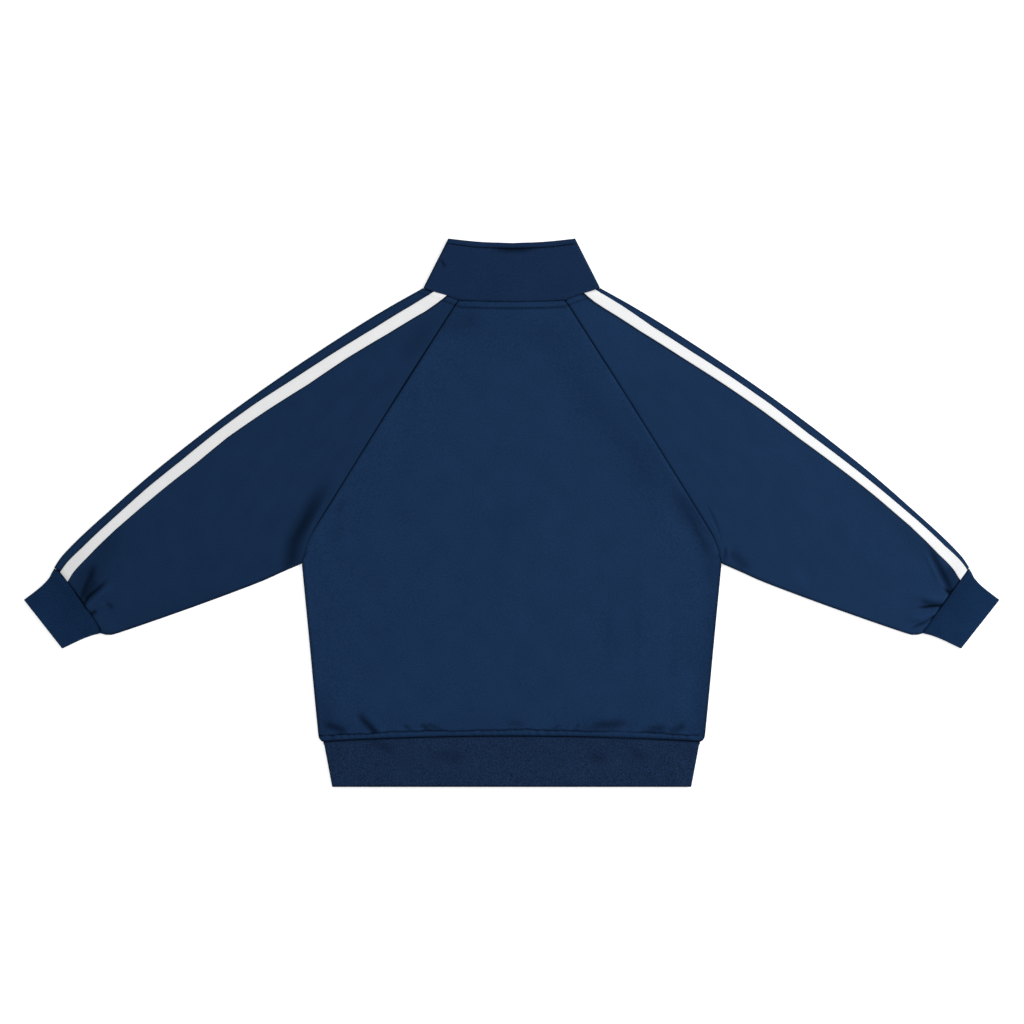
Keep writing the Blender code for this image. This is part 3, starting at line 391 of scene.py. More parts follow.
def cloth(name, rows, wall, finish, shade=0, cut=None, ring=False):
    """A thin shell of cloth from rows of points on the middle of its wall, with rounded rims."""
    # Painted shade where the cloth turns down at its edges and seams, the more the steeper it turns.
    shade = shade + EDGE_SHADE * (1 - outward(rows)[..., 2])
    index = np.arange(rows.shape[0] * rows.shape[1]).reshape(rows.shape[:2])
    if ring:
        index = np.hstack([index, index[:, :1]])
    quads = np.stack([index[:-1, :-1], index[1:, :-1], index[1:, 1:], index[:-1, 1:]], axis=-1)
    piece = made(name, rows, quads.reshape(-1, 4).tolist(), finish)
    shade = np.clip(np.broadcast_to(shade, rows.shape[:2]), 0, 1)
    cut = rows if cut is None else raised(cut, 0)
    piece.data.attributes.new("shade", "FLOAT", "POINT").data.foreach_set("value", shade.ravel())
    piece.data.attributes.new("cut", "FLOAT_VECTOR", "POINT").data.foreach_set("vector", cut.ravel())
    thick = piece.modifiers.new("wall", "SOLIDIFY")
    thick.thickness, thick.offset = wall, 0
    rim = piece.modifiers.new("rim", "BEVEL")
    rim.width, rim.segments, rim.limit_method, rim.angle_limit = wall * 0.4, 2, "ANGLE", math.radians(55)
    return piece


class Value:
    """A number on its way through a material; sums and products of it add Math nodes."""

    def __init__(self, finish, socket):
        self.finish, self.socket = finish, socket

    def worked(self, operation, first, second):
        return self.finish.node("ShaderNodeMath", {"operation": operation}, {0: first, 1: second})

    def __add__(self, other):
        return self.worked("ADD", self, other)

    def __sub__(self, other):
        return self.worked("SUBTRACT", self, other)

    def __rsub__(self, other):
        return self.worked("SUBTRACT", other, self)

    def __mul__(self, other):
        return self.worked("MULTIPLY", self, other)

    __radd__, __rmul__ = __add__, __mul__


class Finish:
    """The look of one cloth, thread or metal."""

    def __init__(self, name, **fixed):
        self.material = bpy.data.materials.new(name)
        self.material.use_nodes = True
        self.tree = self.material.node_tree
        self.shader = self.tree.nodes["Principled BSDF"]
        for socket, value in fixed.items():
            self.shader.inputs[socket.replace("_", " ")].default_value = value

    def node(self, kind, settings=(), sockets=(), output=0):
        """Adds a node: its settings first, then the values or links of its sockets."""
        node = self.tree.nodes.new(kind)
        for setting, value in dict(settings).items():
            setattr(node, setting, value)
        for socket, value in dict(sockets).items():
            self.plug(node.inputs[socket], value)
        return Value(self, node.outputs[output])

    def plug(self, socket, value):
        if isinstance(value, Value):
            self.tree.links.new(value.socket, socket)
        else:
            socket.default_value = value

    def attribute(self, name, output="Fac"):
        return self.node("ShaderNodeAttribute", {"attribute_name": name}, output=output)

    def noise(self, scale, detail=2, roughness=0.5, place=None):
        """Fine noise, laid out on the object itself or on the cloth as it was cut."""
        place = place or self.node("ShaderNodeTexCoord", output="Object")
        sockets = {"Vector": place, "Scale": scale, "Detail": detail, "Roughness": roughness}
        return self.node("ShaderNodeTexNoise", sockets=sockets)

    def waves(self, place, pitch, axis=0):
        """Even ridges across one axis of the cut, from -1 to 1."""
        run = self.node("ShaderNodeSeparateXYZ", sockets={0: place}, output=axis)
        return self.node("ShaderNodeMath", {"operation": "SINE"}, {0: run * (2 * math.pi / pitch)})

    def dyed(self, colour, tone):
        """The base colour, made lighter or darker by tone."""
        paint = self.node("ShaderNodeVectorMath", {"operation": "SCALE"}, {0: colour, "Scale": tone})
        self.plug(self.shader.inputs["Base Color"], paint)

    def rough(self, roughness):
        self.plug(self.shader.inputs["Roughness"], roughness)

    def relief(self, height, depth, strength):
        sockets = {"Height": height, "Distance": depth, "Strength": strength}
        self.plug(self.shader.inputs["Normal"], self.node("ShaderNodeBump", sockets=sockets))


# How much of the base colour the fullest painted shade takes away.
DEEPEST = 0.82


def knitted(name, colour, nap_scale, nap_roughness, cloud_scale, grain, mottle):
    """The start of a knit's look: a short matt nap, mottled a little, and darkened in its folds, seams and
    edges by painted shade.
    """
    finish = Finish(name, Specular_IOR_Level=0.02)
    place = finish.attribute("cut", "Vector")
    nap = finish.noise(nap_scale, 3, nap_roughness, place)
    clouds = finish.noise(cloud_scale, place=place)
    tone = 1 + (nap - 0.5) * grain + (clouds - 0.5) * mottle
    finish.dyed(colour, tone * (1 - finish.attribute("shade") * DEEPEST))
    finish.rough(0.86 + nap * 0.1)
    return finish, place, nap


def jersey(name, colour):
    """Brushed jersey: fine wales under a short nap."""
    finish, place, nap = knitted(name, colour, 620, 0.6, 26, 1.2, 0.2)
    finish.relief(nap * 1.4 + finish.waves(place, 0.0013) * 0.25, 0.00022, 0.55)
    return finish.material


NAVY = (0.0092, 0.0283, 0.0765)
back_jersey = jersey("back_jersey", NAVY)
hem_line = [(x, hem_y(x)) for x in (0, 0.09, 0.18, HEM_SIDE[0])]
raglan_seam = SewnLine(RAGLAN_BACK)
to_body = -left_of(raglan_seam.heading(1))
into_body = np.array([-1, 0])
body_side = TurnedEdge(SewnLine(SIDE_SEAM), -1, JERSEY, JERSEY_TURN, (-raglan_seam.heading(1), -to_body),
                       (into_body, np.array([0, -1])))


def half_body(raglan, neck, down_raglan, down_side, columns, middle):
    """Half of a body panel in plan from neck to hem, and how far each place has turned under at the side."""
    hem = SewnLine(hem_line).moved(SEAM_GAP / 2 + 0.0003)
    turned_share = np.linalg.norm(body_side.place(0)[0][0] - raglan.at(1)) / raglan.length
    at_seam = SEAM_REACH * np.arange(1, TURN_STEPS + 1) / TURN_STEPS
    plan, drop, reach = [], [], []
    for station in down_raglan:
        edge = raglan.at(station * (1 - turned_share))
        inner = edge[0] - SEAM_REACH
        x = np.concatenate([middle + (inner - middle) * columns, inner + at_seam])
        on_neck = neck.at(1 - (x - middle) / (edge[0] - middle))
        y = edge[1] + (on_neck[:, 1] - neck.at(0)[1]) * fade(station, 0, 0.5)
        if station == 0:
            x = on_neck[:, 0]
        plan.append(np.stack([x, y], axis=1))
        drop.append(0 * x)
        reach.append(edge[0] - x)
    for station in down_side:
        turn = body_side.turn(station, SEAM_SLOT)[0]
        inner = turn[0]
        x = middle + (inner[0] - middle) * columns[:-1]
        sag = hem.at(x / HEM_SIDE[0])[:, 1] - hem.at(inner[0] / HEM_SIDE[0])[1]
        y = inner[1] + sag * ease(station, 0, 1) ** 2
        plan.append(np.vstack([np.stack([x, y], axis=1), turn[:, :2]]))
        drop.append(np.concatenate([0 * x, JERSEY_TOP - turn[:, 2]]))
        reach.append(inner[0] - plan[-1][:, 0])
    return np.array(plan), np.array(drop), np.maximum(0, np.array(reach))


def back_form(x, y, from_side, on_raglan):
    """The middle of the back's wall, and its shade."""
    from_hem, neck = y - hem_y(x), from_neck(x, y)
    from_stitch = from_hem - hem_stitch(x)
    loose = ease(from_side, 0, EDGE_LOOSE)
    pressed, shade = creased(BACK_CREASES, x, y)
    puckered, hem_shade = creased(HEM_CREASES, x, y)
    ruck = np.sin(x * 610 + from_hem * 420 + 3 * np.sin(x * 61)) * (0.6 + 0.4 * np.sin(x * 23 + 1))
    pulled = 1 - 0.7 * bell(x, 0.15, 0.028)
    soft = folded(SOFT_FOLDS, x, y) + back_lift(x, y) + pressed + uneven(x, y, 0.00022, 0.06)
    soft += (RIB_TOP - JERSEY_TOP) * fade(from_hem, 0, 0.02)
    soft += (folded(HEM_PUCKERS, x, y) + puckered) * ease(from_hem, 0.004, 0.009)
    soft += 0.0014 * bell(from_hem, 0.0044, 0.0032) + 0.0005 * ruck * bell(from_hem, 0.006, 0.0042)
    soft -= stitched_groove(from_stitch, 0.0011) * pulled
    height = JERSEY_TOP + 0.0009 * ease(from_side, 0, 0.12) + neck_rise(x, y) + soft * loose
    height -= stitched_groove(neck - NECK_STITCH) * (np.abs(x) < 0.2)
    dips = seam_dip(from_hem) + seam_dip(neck) + np.where(on_raglan, seam_dip(from_side), 0)
    height -= np.minimum(0.0012, dips) * np.where(on_raglan, 1, loose)
    # Painted shade in the puckers, in the hem seam and along its topstitching, in ripples of painted light
    # and shade beside it, faintly over the band above the hem, in the neck seam and along its stitching, in
    # the raglan seams and along the side edges.
    shade = shade + hem_shade * ease(from_hem, 0.006, 0.009)
    shade += (0.42 + 0.38 * pulled) * fade(from_hem, 0.0004, 0.0022)
    shade += (0.5 + 0.32 * ruck) * pulled * bell(from_stitch, 0, 0.0012)
    shade += 0.14 * ruck * bell(from_hem, 0.005, 0.0022) + 0.05 * fade(from_hem, 0.015, 0.04)
    shade += 0.6 * seam_line(neck, 0.0016) + 0.62 * bell(neck, NECK_STITCH, 0.0012)
    shade += np.where(on_raglan, raglan_shade(np.sign(x), y, from_side), 0.3 * fade(from_side, 0, 0.0016))
    return np.maximum(height, LOWEST_UPPER_LAYER), shade


def back_rows():
    """The back from neck to hem, and its shade."""
    half = half_body(raglan_seam.moved(-SEAM_GAP / 2), SewnLine(NECK_CENTRE).moved(SEAM_GAP / 2),
                     stations(96, (0, 0.02, 3))[:-1] * RAGLAN_END, stations(96, (1, 0.08, 6)),
                     np.linspace(0, 1, 98), 0)
    round_hem_corners(half[0])
    plan, drop, reach = (np.concatenate([part[:, :0:-1], part], axis=1) for part in half)
    plan[:, :plan.shape[1] // 2, 0] *= -1
    on_raglan = np.broadcast_to(np.arange(len(plan))[:, None] < 95, reach.shape)
    height, shade = back_form(plan[..., 0], plan[..., 1], reach, on_raglan)
    return raised(plan, height - drop), shade


back_points, back_shade = back_rows()
back_cloth = cloth("back_cloth", back_points, JERSEY, back_jersey, back_shade)


# The sleeves. Each is one piece of the same jersey, folded along the shoulder and sewn to itself under the
# arm. Its slanted head meets the back and a front along the raglan seams, and its wrist is gathered on to
# the narrower cuff, so short deep creases run out of that seam. The stripe lies just off the shoulder fold.
SHOULDER_FOLD = [NECK_SIDE, (0.1705, 0.2815), (0.2248, 0.2482), (0.3004, 0.1987), (0.3713, 0.1492),
                 (0.4373, 0.0997), (0.4991, 0.0502), (0.5555, 0.0007), (0.5919, -0.0323),
                 (0.618, -0.059), (0.6296, -0.0755)]
SLEEVE_UNDER = [UNDERARM, (0.3149, -0.0818), (0.3527, -0.0983), (0.4414, -0.1313), (0.5363, -0.1643),
                (0.5545, -0.1684), (0.5643, -0.1668)]
NECK_FRONT_SLEEVE = [NECK_SIDE, (0.095, 0.265)]
RAGLAN_FRONT = [(0.095, 0.265), (0.175, 0.134), (0.242, 0.0253)] + RAGLAN_FOOT
CUFF_TOP, CUFF_UNDER = (0.6296, -0.0755), (0.5643, -0.1668)
STRIPE_PLACES = [0, 0.03, 0.06, 0.15, 0.25, 0.35, 0.45, 0.55, 0.65, 0.75, 0.85, 0.93, 1]
STRIPE_GAPS = {
    -1: [.0122, .0128, .0138, .015, .0138, .0132, .0108, .0106, .0121, .0115, .0119, .0126, .0108],
    1: [.0058, .0062, .0068, .0106, .0107, .0097, .0096, .0111, .0101, .0088, .0072, .0074, .0044]}
STRIPE_WIDTHS = {
    -1: [.0138, .0158, .0168, .0165, .016, .0172, .0168, .015, .0155, .0162, .0148, .0158, .0165],
    1: [.012, .015, .016, .0146, .0143, .0142, .0138, .013, .0124, .012, .0124, .0148, .016]}
FOLD_TO_STRIPE, UNDER_STRIPE, STRIPE_TO_CORNER, CORNER_TO_UNDERARM = 5, 6, 8, 104
# Painted shade laid over each whole sleeve, more on the left one, which lies farther from the light.
SLEEVE_SHADE = {-1: 0.15, 1: 0.05}
SLEEVE_LENGTH = 0.52
# As for the back's creases, the third column is painted shade, and where negative a painted highlight.
SLEEVE_CREASES = {
    -1: [
        (10.5, -1.2, 0.5, 0, 1, (-244, 56), (-260, 30), (-276, 6), (-291, -20), (-302, -44), (-306, -74)),
        (8, 0, 0.18, 0, 1, (-262, 17), (-278, -8), (-290, -33), (-296, -60)),
        (12, 1.2, 0, 0, 1, (-278, 30), (-299, -8), (-319, -38), (-329, -70)),
        (3, 1, -0.08, 0, 0.5, (-252, 24), (-270, -6), (-285, -36)),
        (17, 0, 0.16, 0, 0.6, (-165, 215), (-135, 230), (-112, 262)),
        (16, 0, 0.09, 0.5, 0, (-520, -150), (-440, -125), (-370, -98)),
        (20, -0.4, 0.2, 0.2, 1, (-530, -10), (-560, -50), (-588, -98)),
        (3.6, -1.2, 0.34, 1, 0, (-592, -118), (-584.4, -99.7), (-577.5, -81.4), (-573, -65.3)),
        (10, -0.6, 0.16, 1, 0, (-590, -108), (-580, -85), (-572, -65)),
        (2.6, -1.4, 0.58, 1, 0, (-587.8, -124.9), (-582.2, -115.8), (-568.4, -104.2), (-552, -89)),
        (5.8, -0.6, 0.24, 1, 0, (-585, -115), (-576, -102), (-567, -90)),
        (5, 1.6, -0.12, 1, 0, (-583, -129), (-568, -114), (-548, -97)),
        (2.6, -1, 0.7, 1, 0, (-579, -140), (-569.5, -134)),
        (3.6, 1.2, -0.08, 0.5, 0, (-572, -131), (-564, -127), (-558, -129)),
        (3.4, 1, -0.06, 1, 0, (-574, -146.5), (-564, -140), (-554, -139)),
        (3, -0.8, 0.4, 0, 0, (-560, -123.5), (-554, -127), (-547, -134.5)),
        (3, 0.8, -0.06, 0.5, 0, (-566, -162), (-570, -146)),
        (2.4, -0.4, 0.15, 0, 0, (-545, -70), (-538, -80)),
    ],
    1: [
        (1.8, -0.6, 0.3, 0, 0.3, (265, 17.2), (278, -8), (287.5, -35.9)),
        (1.3, 0.5, -0.45, 0, 0.3, (270, -6), (278.5, -20), (285, -34)),
        (7.5, -1.2, 0.34, 0, 1, (296, -50), (306, -61), (318, -74)),
        (2.2, -0.7, 0.45, 0, 0.8, (295, -44), (293.5, -56), (292, -68)),
        (2.6, 0.9, -0.1, 0, 0.6, (297.5, -50), (299, -64)),
        (9, 0.6, -0.04, 0, 0.6, (380, -76), (400, -106)),
        (30, 0, -0.07, 1, 0, (110, 270), (160, 230), (215, 180)),
        (16, -0.2, 0.11, 0, 1, (440, 75), (515, 2), (570, -56)),
        (4.2, -1.3, 0.6, 1, 0, (605.5, -111), (598.5, -97.4), (588.9, -79.1), (577.5, -56.1), (566, -40)),
        (8.5, -0.6, 0.4, 1, 0, (613, -101), (605, -85), (596, -68)),
        (4, 1.6, -0.1, 0.4, 0, (592, -103), (585, -88), (576, -69), (564, -47)),
        (2.4, -1.2, 0.8, 1, 0.3, (606, -114.5), (594.5, -104)),
        (2.1, -1.3, 0.8, 1, 0, (593, -128.3), (584.4, -128.3), (570.6, -129.9), (554, -131.2)),
        (3.6, -0.6, 0.4, 0.5, 0, (588, -126.2), (570.6, -125), (558, -119)),
        (5.6, 1.4, -0.1, 1, 0, (597, -118), (580, -118.5), (564, -113)),
        (3.8, 1.3, -0.08, 1, 0, (587, -135), (576.7, -140), (560, -144), (540, -148)),
        (2.2, -1, 0.5, 1, 0, (580, -143), (567.2, -151.3), (556.9, -155.8), (544, -162)),
        (2.6, 0.9, -0.12, 1, 0, (574, -154), (562, -160), (550, -164)),
    ],
}

neck_seam = SewnLine(NECK_BACK)
to_collar = -left_of(neck_seam.heading(0))
cuff_seam = SewnLine([CUFF_TOP, CUFF_UNDER])
to_cuff = left_of(cuff_seam.heading(0))
CUFF_BOW = {-1: 0.004, 1: 0.0004}


def cuff_bow(side, share):
    """The gathers push the cuff seam a little way up the left sleeve."""
    return -to_cuff * (CUFF_BOW[side] * (1 - (2 * share - 1) ** 8))[..., None]


spread = np.linspace(0, 1, 61)
gathered_seam = {side: SewnLine(points=cuff_seam.at(spread) + cuff_bow(side, spread)) for side in (-1, 1)}
shoulder = TurnedEdge(SewnLine(SHOULDER_FOLD), -1, JERSEY, JERSEY_TURN, (neck_seam.heading(0), to_collar),
                      (cuff_seam.heading(0), to_cuff))
underarm = TurnedEdge(SewnLine(SLEEVE_UNDER), 1, JERSEY, JERSEY_TURN, (-raglan_seam.heading(1), to_body),
                      (-cuff_seam.heading(0), to_cuff))


def sleeve_plan(share, weight, head, wrist):
    """Places in plan: share runs from the sleeve's head to its wrist, weight from shoulder to underarm."""
    left, right = shoulder.place(share)[0][:, None], underarm.place(share)[0][:, None]
    spot = left + (right - left) * weight[..., None]
    for line, at, part in ((head, 0, 1 - share), (wrist, 1, share)):
        left, right = shoulder.place(at)[0][0], underarm.place(at)[0][0]
        low = np.linalg.norm(left - line.at(0)) / line.length
        high = 1 - np.linalg.norm(right - line.at(1)) / line.length
        chord = left + (right - left) * weight[..., None]
        spot = spot + (line.at(low + (high - low) * weight) - chord) * part[:, None, None]
    return spot


def sleeve_weights(side, share, head, wrist):
    """Columns from shoulder to underarm, one on each edge of the stripe and one on the seam's corner."""
    edge = sleeve_plan(share, np.tile([0, 0.02], (len(share), 1)), head, wrist)
    slant = np.abs((left_of(shoulder.line.heading(share)) * (edge[:, 1] - edge[:, 0])).sum(axis=1)) / 0.02
    gap = np.interp(share, STRIPE_PLACES, STRIPE_GAPS[side]) - JERSEY_TURN - JERSEY / 2
    width = np.interp(share, STRIPE_PLACES, STRIPE_WIDTHS[side])
    first, last = gap / slant, (gap + width) / slant
    knots = [0 * first, first, last, np.maximum(head.corner_share(0), last + 0.03), 0 * first + 1]
    counts = (FOLD_TO_STRIPE, UNDER_STRIPE, STRIPE_TO_CORNER, CORNER_TO_UNDERARM)
    columns = [low[:, None] + (high - low)[:, None] * np.linspace(0, 1, count, endpoint=False)
               for low, high, count in zip(knots, knots[1:], counts)]
    return np.concatenate(columns, axis=1)


def cuff_seam_shade(side, share):
    """The painted shade in a cuff seam is deepest halfway along, where most of the gathers meet it."""
    least, most = (0.46, 0.95) if side > 0 else (0.36, 0.66)
    return least + most * np.exp(-((share - 0.52) / 0.14) ** 2)


def sleeve_form(side, weight, spot, head_spot, wrist_spot, width):
    """The middle of the wall of a sleeve's upper layer, and its shade."""
    x, y = spot[..., 0] * side, spot[..., 1]
    neck = from_neck(x, y)
    from_edge = np.minimum(weight, 1 - weight) * width
    from_head, from_wrist = (np.linalg.norm(spot - end, axis=-1) for end in (head_spot, wrist_spot))
    pressed, shade = creased(SLEEVE_CREASES[side], x, y)
    soft = folded(SOFT_FOLDS, x, y) + back_lift(x, y) + uneven(x, y, 0.0002, 0.055)
    soft += (RIB_TOP - JERSEY_TOP) * fade(from_wrist, 0, 0.014)
    height = JERSEY_TOP + 0.0008 * np.sin(math.pi * weight) ** 0.8 + soft * ease(from_edge, 0, EDGE_LOOSE)
    height += pressed * ease(from_edge, 0, 0.01) + neck_rise(x, y) * ease(from_edge, 0, 0.012)
    dips = seam_dip(from_head) + seam_dip(from_wrist) + stitched_groove(neck - NECK_STITCH)
    height -= dips * ease(from_edge, 0, 0.004)
    # Painted shade over the whole sleeve, in the raglan seam (faint up by the neck), in the cuff seam, along
    # the underarm edge and along the neck topstitching.
    in_raglan = 1 - 0.85 * ease(y, RAGLAN_TOP[1] - 0.004, RAGLAN_TOP[1] + 0.004)
    shade = shade + SLEEVE_SHADE[side] + in_raglan * raglan_shade(side, y, from_head)
    shade += cuff_seam_shade(side, weight) * seam_line(from_wrist, 0.0016)
    shade += 0.32 * fade((1 - weight) * width, 0, 0.0018) + 0.35 * bell(neck, NECK_STITCH, 0.0012)
    return np.maximum(height, LOWEST_UPPER_LAYER), shade


def sleeve_rows(side):
    """A sleeve, a row for each station from its head to its wrist, and its shade and cut."""
    head = SewnLine(NECK_BACK, RAGLAN_BACK).moved(SEAM_GAP / 2)
    front_head = SewnLine(NECK_FRONT_SLEEVE, RAGLAN_FRONT).moved(SEAM_GAP / 2)
    wrist = gathered_seam[side].moved(-SEAM_GAP / 2)
    share = stations(226, (0, 0.012, 3), (1, 0.1, 1.6))
    weight = sleeve_weights(side, share, head, wrist)
    spot, *ends = (sleeve_plan(at, weight, head, wrist) for at in (share, 0 * share, 0 * share + 1))
    width = np.linalg.norm(shoulder.place(share)[0] - underarm.place(share)[0], axis=1)[:, None]
    height, shade = sleeve_form(side, weight, spot, *ends, width)
    # Painted shadow on the sleeve along both edges of the stripe, stronger on the side away from the shoulder
    # fold.
    first, last = FOLD_TO_STRIPE, FOLD_TO_STRIPE + UNDER_STRIPE
    for column, strength in ((first - 1, 0.1), (first, 0.4), (last, 0.7), (last + 1, 0.35)):
        shade[:, column] += strength
    corner = front_head.corner_share(0)
    under = np.append(corner * np.linspace(0.25, 1, 4), corner + (1 - corner) * np.linspace(0.12, 0.975, 9))
    under_plan = sleeve_plan(share, np.tile(under, (len(share), 1)), front_head, wrist)
    upper = [underarm.turn(share, SEAM_SLOT)[:, ::-1], raised(spot, height)[:, :0:-1], shoulder.turn(share)]
    lower = [raised(under_plan, JERSEY / 2), underarm.turn_below(share, SEAM_SLOT)[:, ::-1]]
    rows = np.concatenate(upper + [shoulder.turn_below(share)[:, 1:]] + lower, axis=1)
    rows[..., 0] *= side
    # Painted shade over the whole sleeve, and more of it on the turned edges at the underarm and at the
    # shoulder fold.
    shades = np.full(rows.shape[:2], SLEEVE_SHADE[side])
    upper_end = TURN_STEPS + shade.shape[1]
    shades[:, TURN_STEPS + 1:upper_end] = shade[:, :0:-1]
    shades[:, :TURN_STEPS + 1] += 0.34
    shades[:, upper_end:upper_end + TURN_STEPS] += 0.15
    across = np.cumsum(np.linalg.norm(np.diff(rows, axis=1), axis=-1), axis=1)
    cut = np.broadcast_arrays(np.pad(across, ((0, 0), (1, 0))), share[:, None] * SLEEVE_LENGTH)
    return rows, shades, np.stack(cut, axis=-1)


sleeves, sleeve_points = {}, {}
for word, side in SIDES:
    rows, shade, cut = sleeve_rows(side)
    sleeve_points[side] = rows
    sleeve_jersey = jersey(f"sleeve_{word}_jersey", NAVY)
    sleeves[side] = cloth(f"sleeve_{word}_cloth", rows, JERSEY, sleeve_jersey, shade, cut)


# The stripes. A white woven tape, 18 mm wide and under a millimetre thick, is laid on each sleeve before the
# sleeve is closed, and sewn down along both edges. It sways a little with the hand that guided it, and its
# ends are caught in the neck seam and the cuff seam.
STRIPE, STRIPE_WIDTH = 0.0007, 0.018


def woven_white(name):
    """Twill tape: fine ribs across it, a matt white, greyed by painted shade near its edges and toward the
    cuff.
    """
    finish = Finish(name, Specular_IOR_Level=0.25, Roughness=0.75)
    place = finish.attribute("cut", "Vector")
    grain = finish.noise(500, place=place)
    tone = 1 + (grain - 0.5) * 0.06 - finish.attribute("shade") * 0.3
    finish.dyed((0.8, 0.803, 0.812), tone)
    finish.relief(finish.waves(place, 0.0011, 1) + grain * 0.8, 0.0001, 0.5)
    return finish.material


white_tape = woven_white("white_tape")
stripes, stripe_points = {}, {}
for word, side in SIDES:
    first = TURN_STEPS + CORNER_TO_UNDERARM + STRIPE_TO_CORNER - 1
    base = sleeve_points[side][:, first:first + UNDER_STRIPE + 3]
    rows = (base + outward(base) * (JERSEY / 2 + 0.0003 + STRIPE / 2))[:, 1:-1]
    width = np.linalg.norm(rows[:, 0] - rows[:, -1], axis=1)
    across = np.linspace(0, 1, rows.shape[1])
    length = lengths_along(rows[:, 3])
    # Painted shade greys the tape near its edges and over its last 10 cm toward the cuff.
    shade = 0.25 * np.abs(2 * across - 1) ** 6 + 0.3 * ease(length, length[-1] - 0.1, length[-1])[:, None]
    cut = np.stack(np.broadcast_arrays(across * STRIPE_WIDTH, length[:, None]), axis=-1)
    stripe_points[side] = rows
    stripes[side] = cloth(f"stripe_{word}_tape", rows, STRIPE, white_tape, shade, cut)


# The hem band. A deep band of 1 x 1 rib, twice the height of what shows and folded double, open at the zip.
# It is a little shorter than the jacket's foot, so it draws the back in.
HEM_RIB_TOP, HEM_RIB_FOOT = 0.2588, (0.247, -0.3774)
ZIP_OPEN = 0.0053
RIB_PITCH, RIB_RELIEF = 0.0026, 0.0001
RIB_WAVES = [
    (-155, -324, 24, 9, -12, -0.6), (-85, -338, 22, 12, 5, -0.4), (120, -338, 18, 12, 10, -0.5),
    (178, -337, 18, 12, 20, -0.5),
]
# As for the back's creases, the third column is painted shade.
RIB_CREASES = [
    (6, -0.5, 0.35, 0.6, 0, (-192, -315), (-175, -323), (-156, -332)),
    (9, -0.3, 0.25, 0, 0, (-108, -329), (-85, -336), (-62, -343)),
    (8, -0.3, 0.25, 0, 0, (99, -332), (118, -338), (136, -345)),
    (7, -0.3, 0.28, 0, 0, (158, -327), (175, -334), (190, -342)),
    (4, -0.3, 0.2, 0, 0, (190, -354), (185, -369)),
]


def rib_knit(name, colour, grain):
    """Rib knit: wales that stand up between narrow grooves, matt, with the stitches across them."""
    finish, place, nap = knitted(name, colour, 760, 0.65, 30, grain, 0.3)
    finish.relief(nap + finish.waves(place, 0.0012, 1) * 0.35, 0.00025, 0.6)
    return finish.material


def band(edge, upper, lower, share, over, below):
    """A band folded at both sides and open at the zip: a row for each share of its height."""
    halves = []
    for _, side in SIDES:
        layers = []
        for (seam, rim, columns), height in ((upper, over), (lower, below)):
            ends = []
            for at, line in enumerate((seam, rim)):
                low = np.linalg.norm(edge.place(at)[0][0] - line.at(0)) / line.length
                ends.append(line.at(low + (1 - low) * columns))
            spot = ends[0] + (ends[1] - ends[0]) * share[:, None, None]
            spot[:, 0] = edge.place(share)[0]
            layers.append(raised(spot, height(spot[..., 0] * side, spot[..., 1], share[:, None])))
        around = [edge.turn(share)[:, 1:], edge.turn_below(share)[:, 1:]]
        halves.append(np.concatenate([layers[0][:, ::-1], *around, layers[1][:, 1:]], axis=1) * [side, 1, 1])
    return np.concatenate([halves[0][:, :0:-1], halves[1]], axis=1)


def hem_rib_rows():
    """The hem band, and its shade."""
    edge = TurnedEdge(SewnLine([(HEM_RIB_TOP, HEM_SIDE[1]), HEM_RIB_FOOT]), -1, RIB, RIB_TURN,
                      (into_body, np.array([0, 1])), (into_body, np.zeros(2)))
    foot_y = HEM_RIB_FOOT[1]
    layers = []
    for middle, count in ((0, 490), (ZIP_OPEN, 60)):
        seam = SewnLine([(max(x, middle), y) for x, y in hem_line[::-1]]).moved(SEAM_GAP / 2)
        foot = SewnLine([HEM_RIB_FOOT, (0.12, foot_y), (middle, foot_y)])
        layers.append((seam, foot, np.linspace(0, 1, count)))

    def over(x, y, share):
        waves = folded(RIB_WAVES, x, y) + creased(RIB_CREASES, x, y)[0] + uneven(x, y, 0.00015, 0.05)
        waves -= 0.0006 * fade(share, 0, 0.08)
        ribs = RIB_RELIEF * np.cos(x * 2 * math.pi / RIB_PITCH) * ease(share, 0, 0.06)
        return RIB_TOP + waves * fade(np.abs(x), 0.21, 0.25) + ribs

    rows = band(edge, *layers, stations(22, (0, 0.08, 2)), over, lambda x, y, share: RIB / 2)
    x, y = rows[..., 0], rows[..., 1]
    # Painted shade in the rib's creases, in the hem seam and along the folded foot of the band, on its upper
    # side.
    shade = creased(RIB_CREASES, x, y)[1] + fade(hem_y(x) - y, 0.0004, 0.0026)
    shade += 0.8 * ease(foot_y - y, -0.0026, -0.0006)
    return rows, shade * (rows[..., 2] > RIB / 2 + RIB_TURN)


hem_points, hem_shade = hem_rib_rows()
hem_knit = rib_knit("hem_rib_knit", (0.009, 0.0221, 0.057), 3.6)
hem_band = cloth("hem_band", hem_points, RIB, hem_knit, hem_shade)


# The cuffs. Each is a tube of the same rib, folded double at the wrist and pressed flat. The sleeve is
# gathered on to its wider end, and the rib draws in from there to the wrist.
CUFF_END_TOP, CUFF_END_UNDER = np.array([0.6706, -0.1203]), np.array([0.6183, -0.1868])
CUFF_PLACES = (0, 0.006, 0.014, 0.03, 0.0575)
CUFF_WIDTHS = {1: (0.055, 0.052, 0.0478, 0.0444, 0.0427), -1: (0.055, 0.0528, 0.0502, 0.0468, 0.0427)}
CUFF_RIBS = 36
CUFF_WAVES = {-1: [(300, 250, 500, 300, 10, -0.5), (600, -450, 500, 250, -5, 0.3)],
              1: [(350, -200, 500, 280, -8, -0.5), (600, 450, 500, 250, 5, 0.3)]}


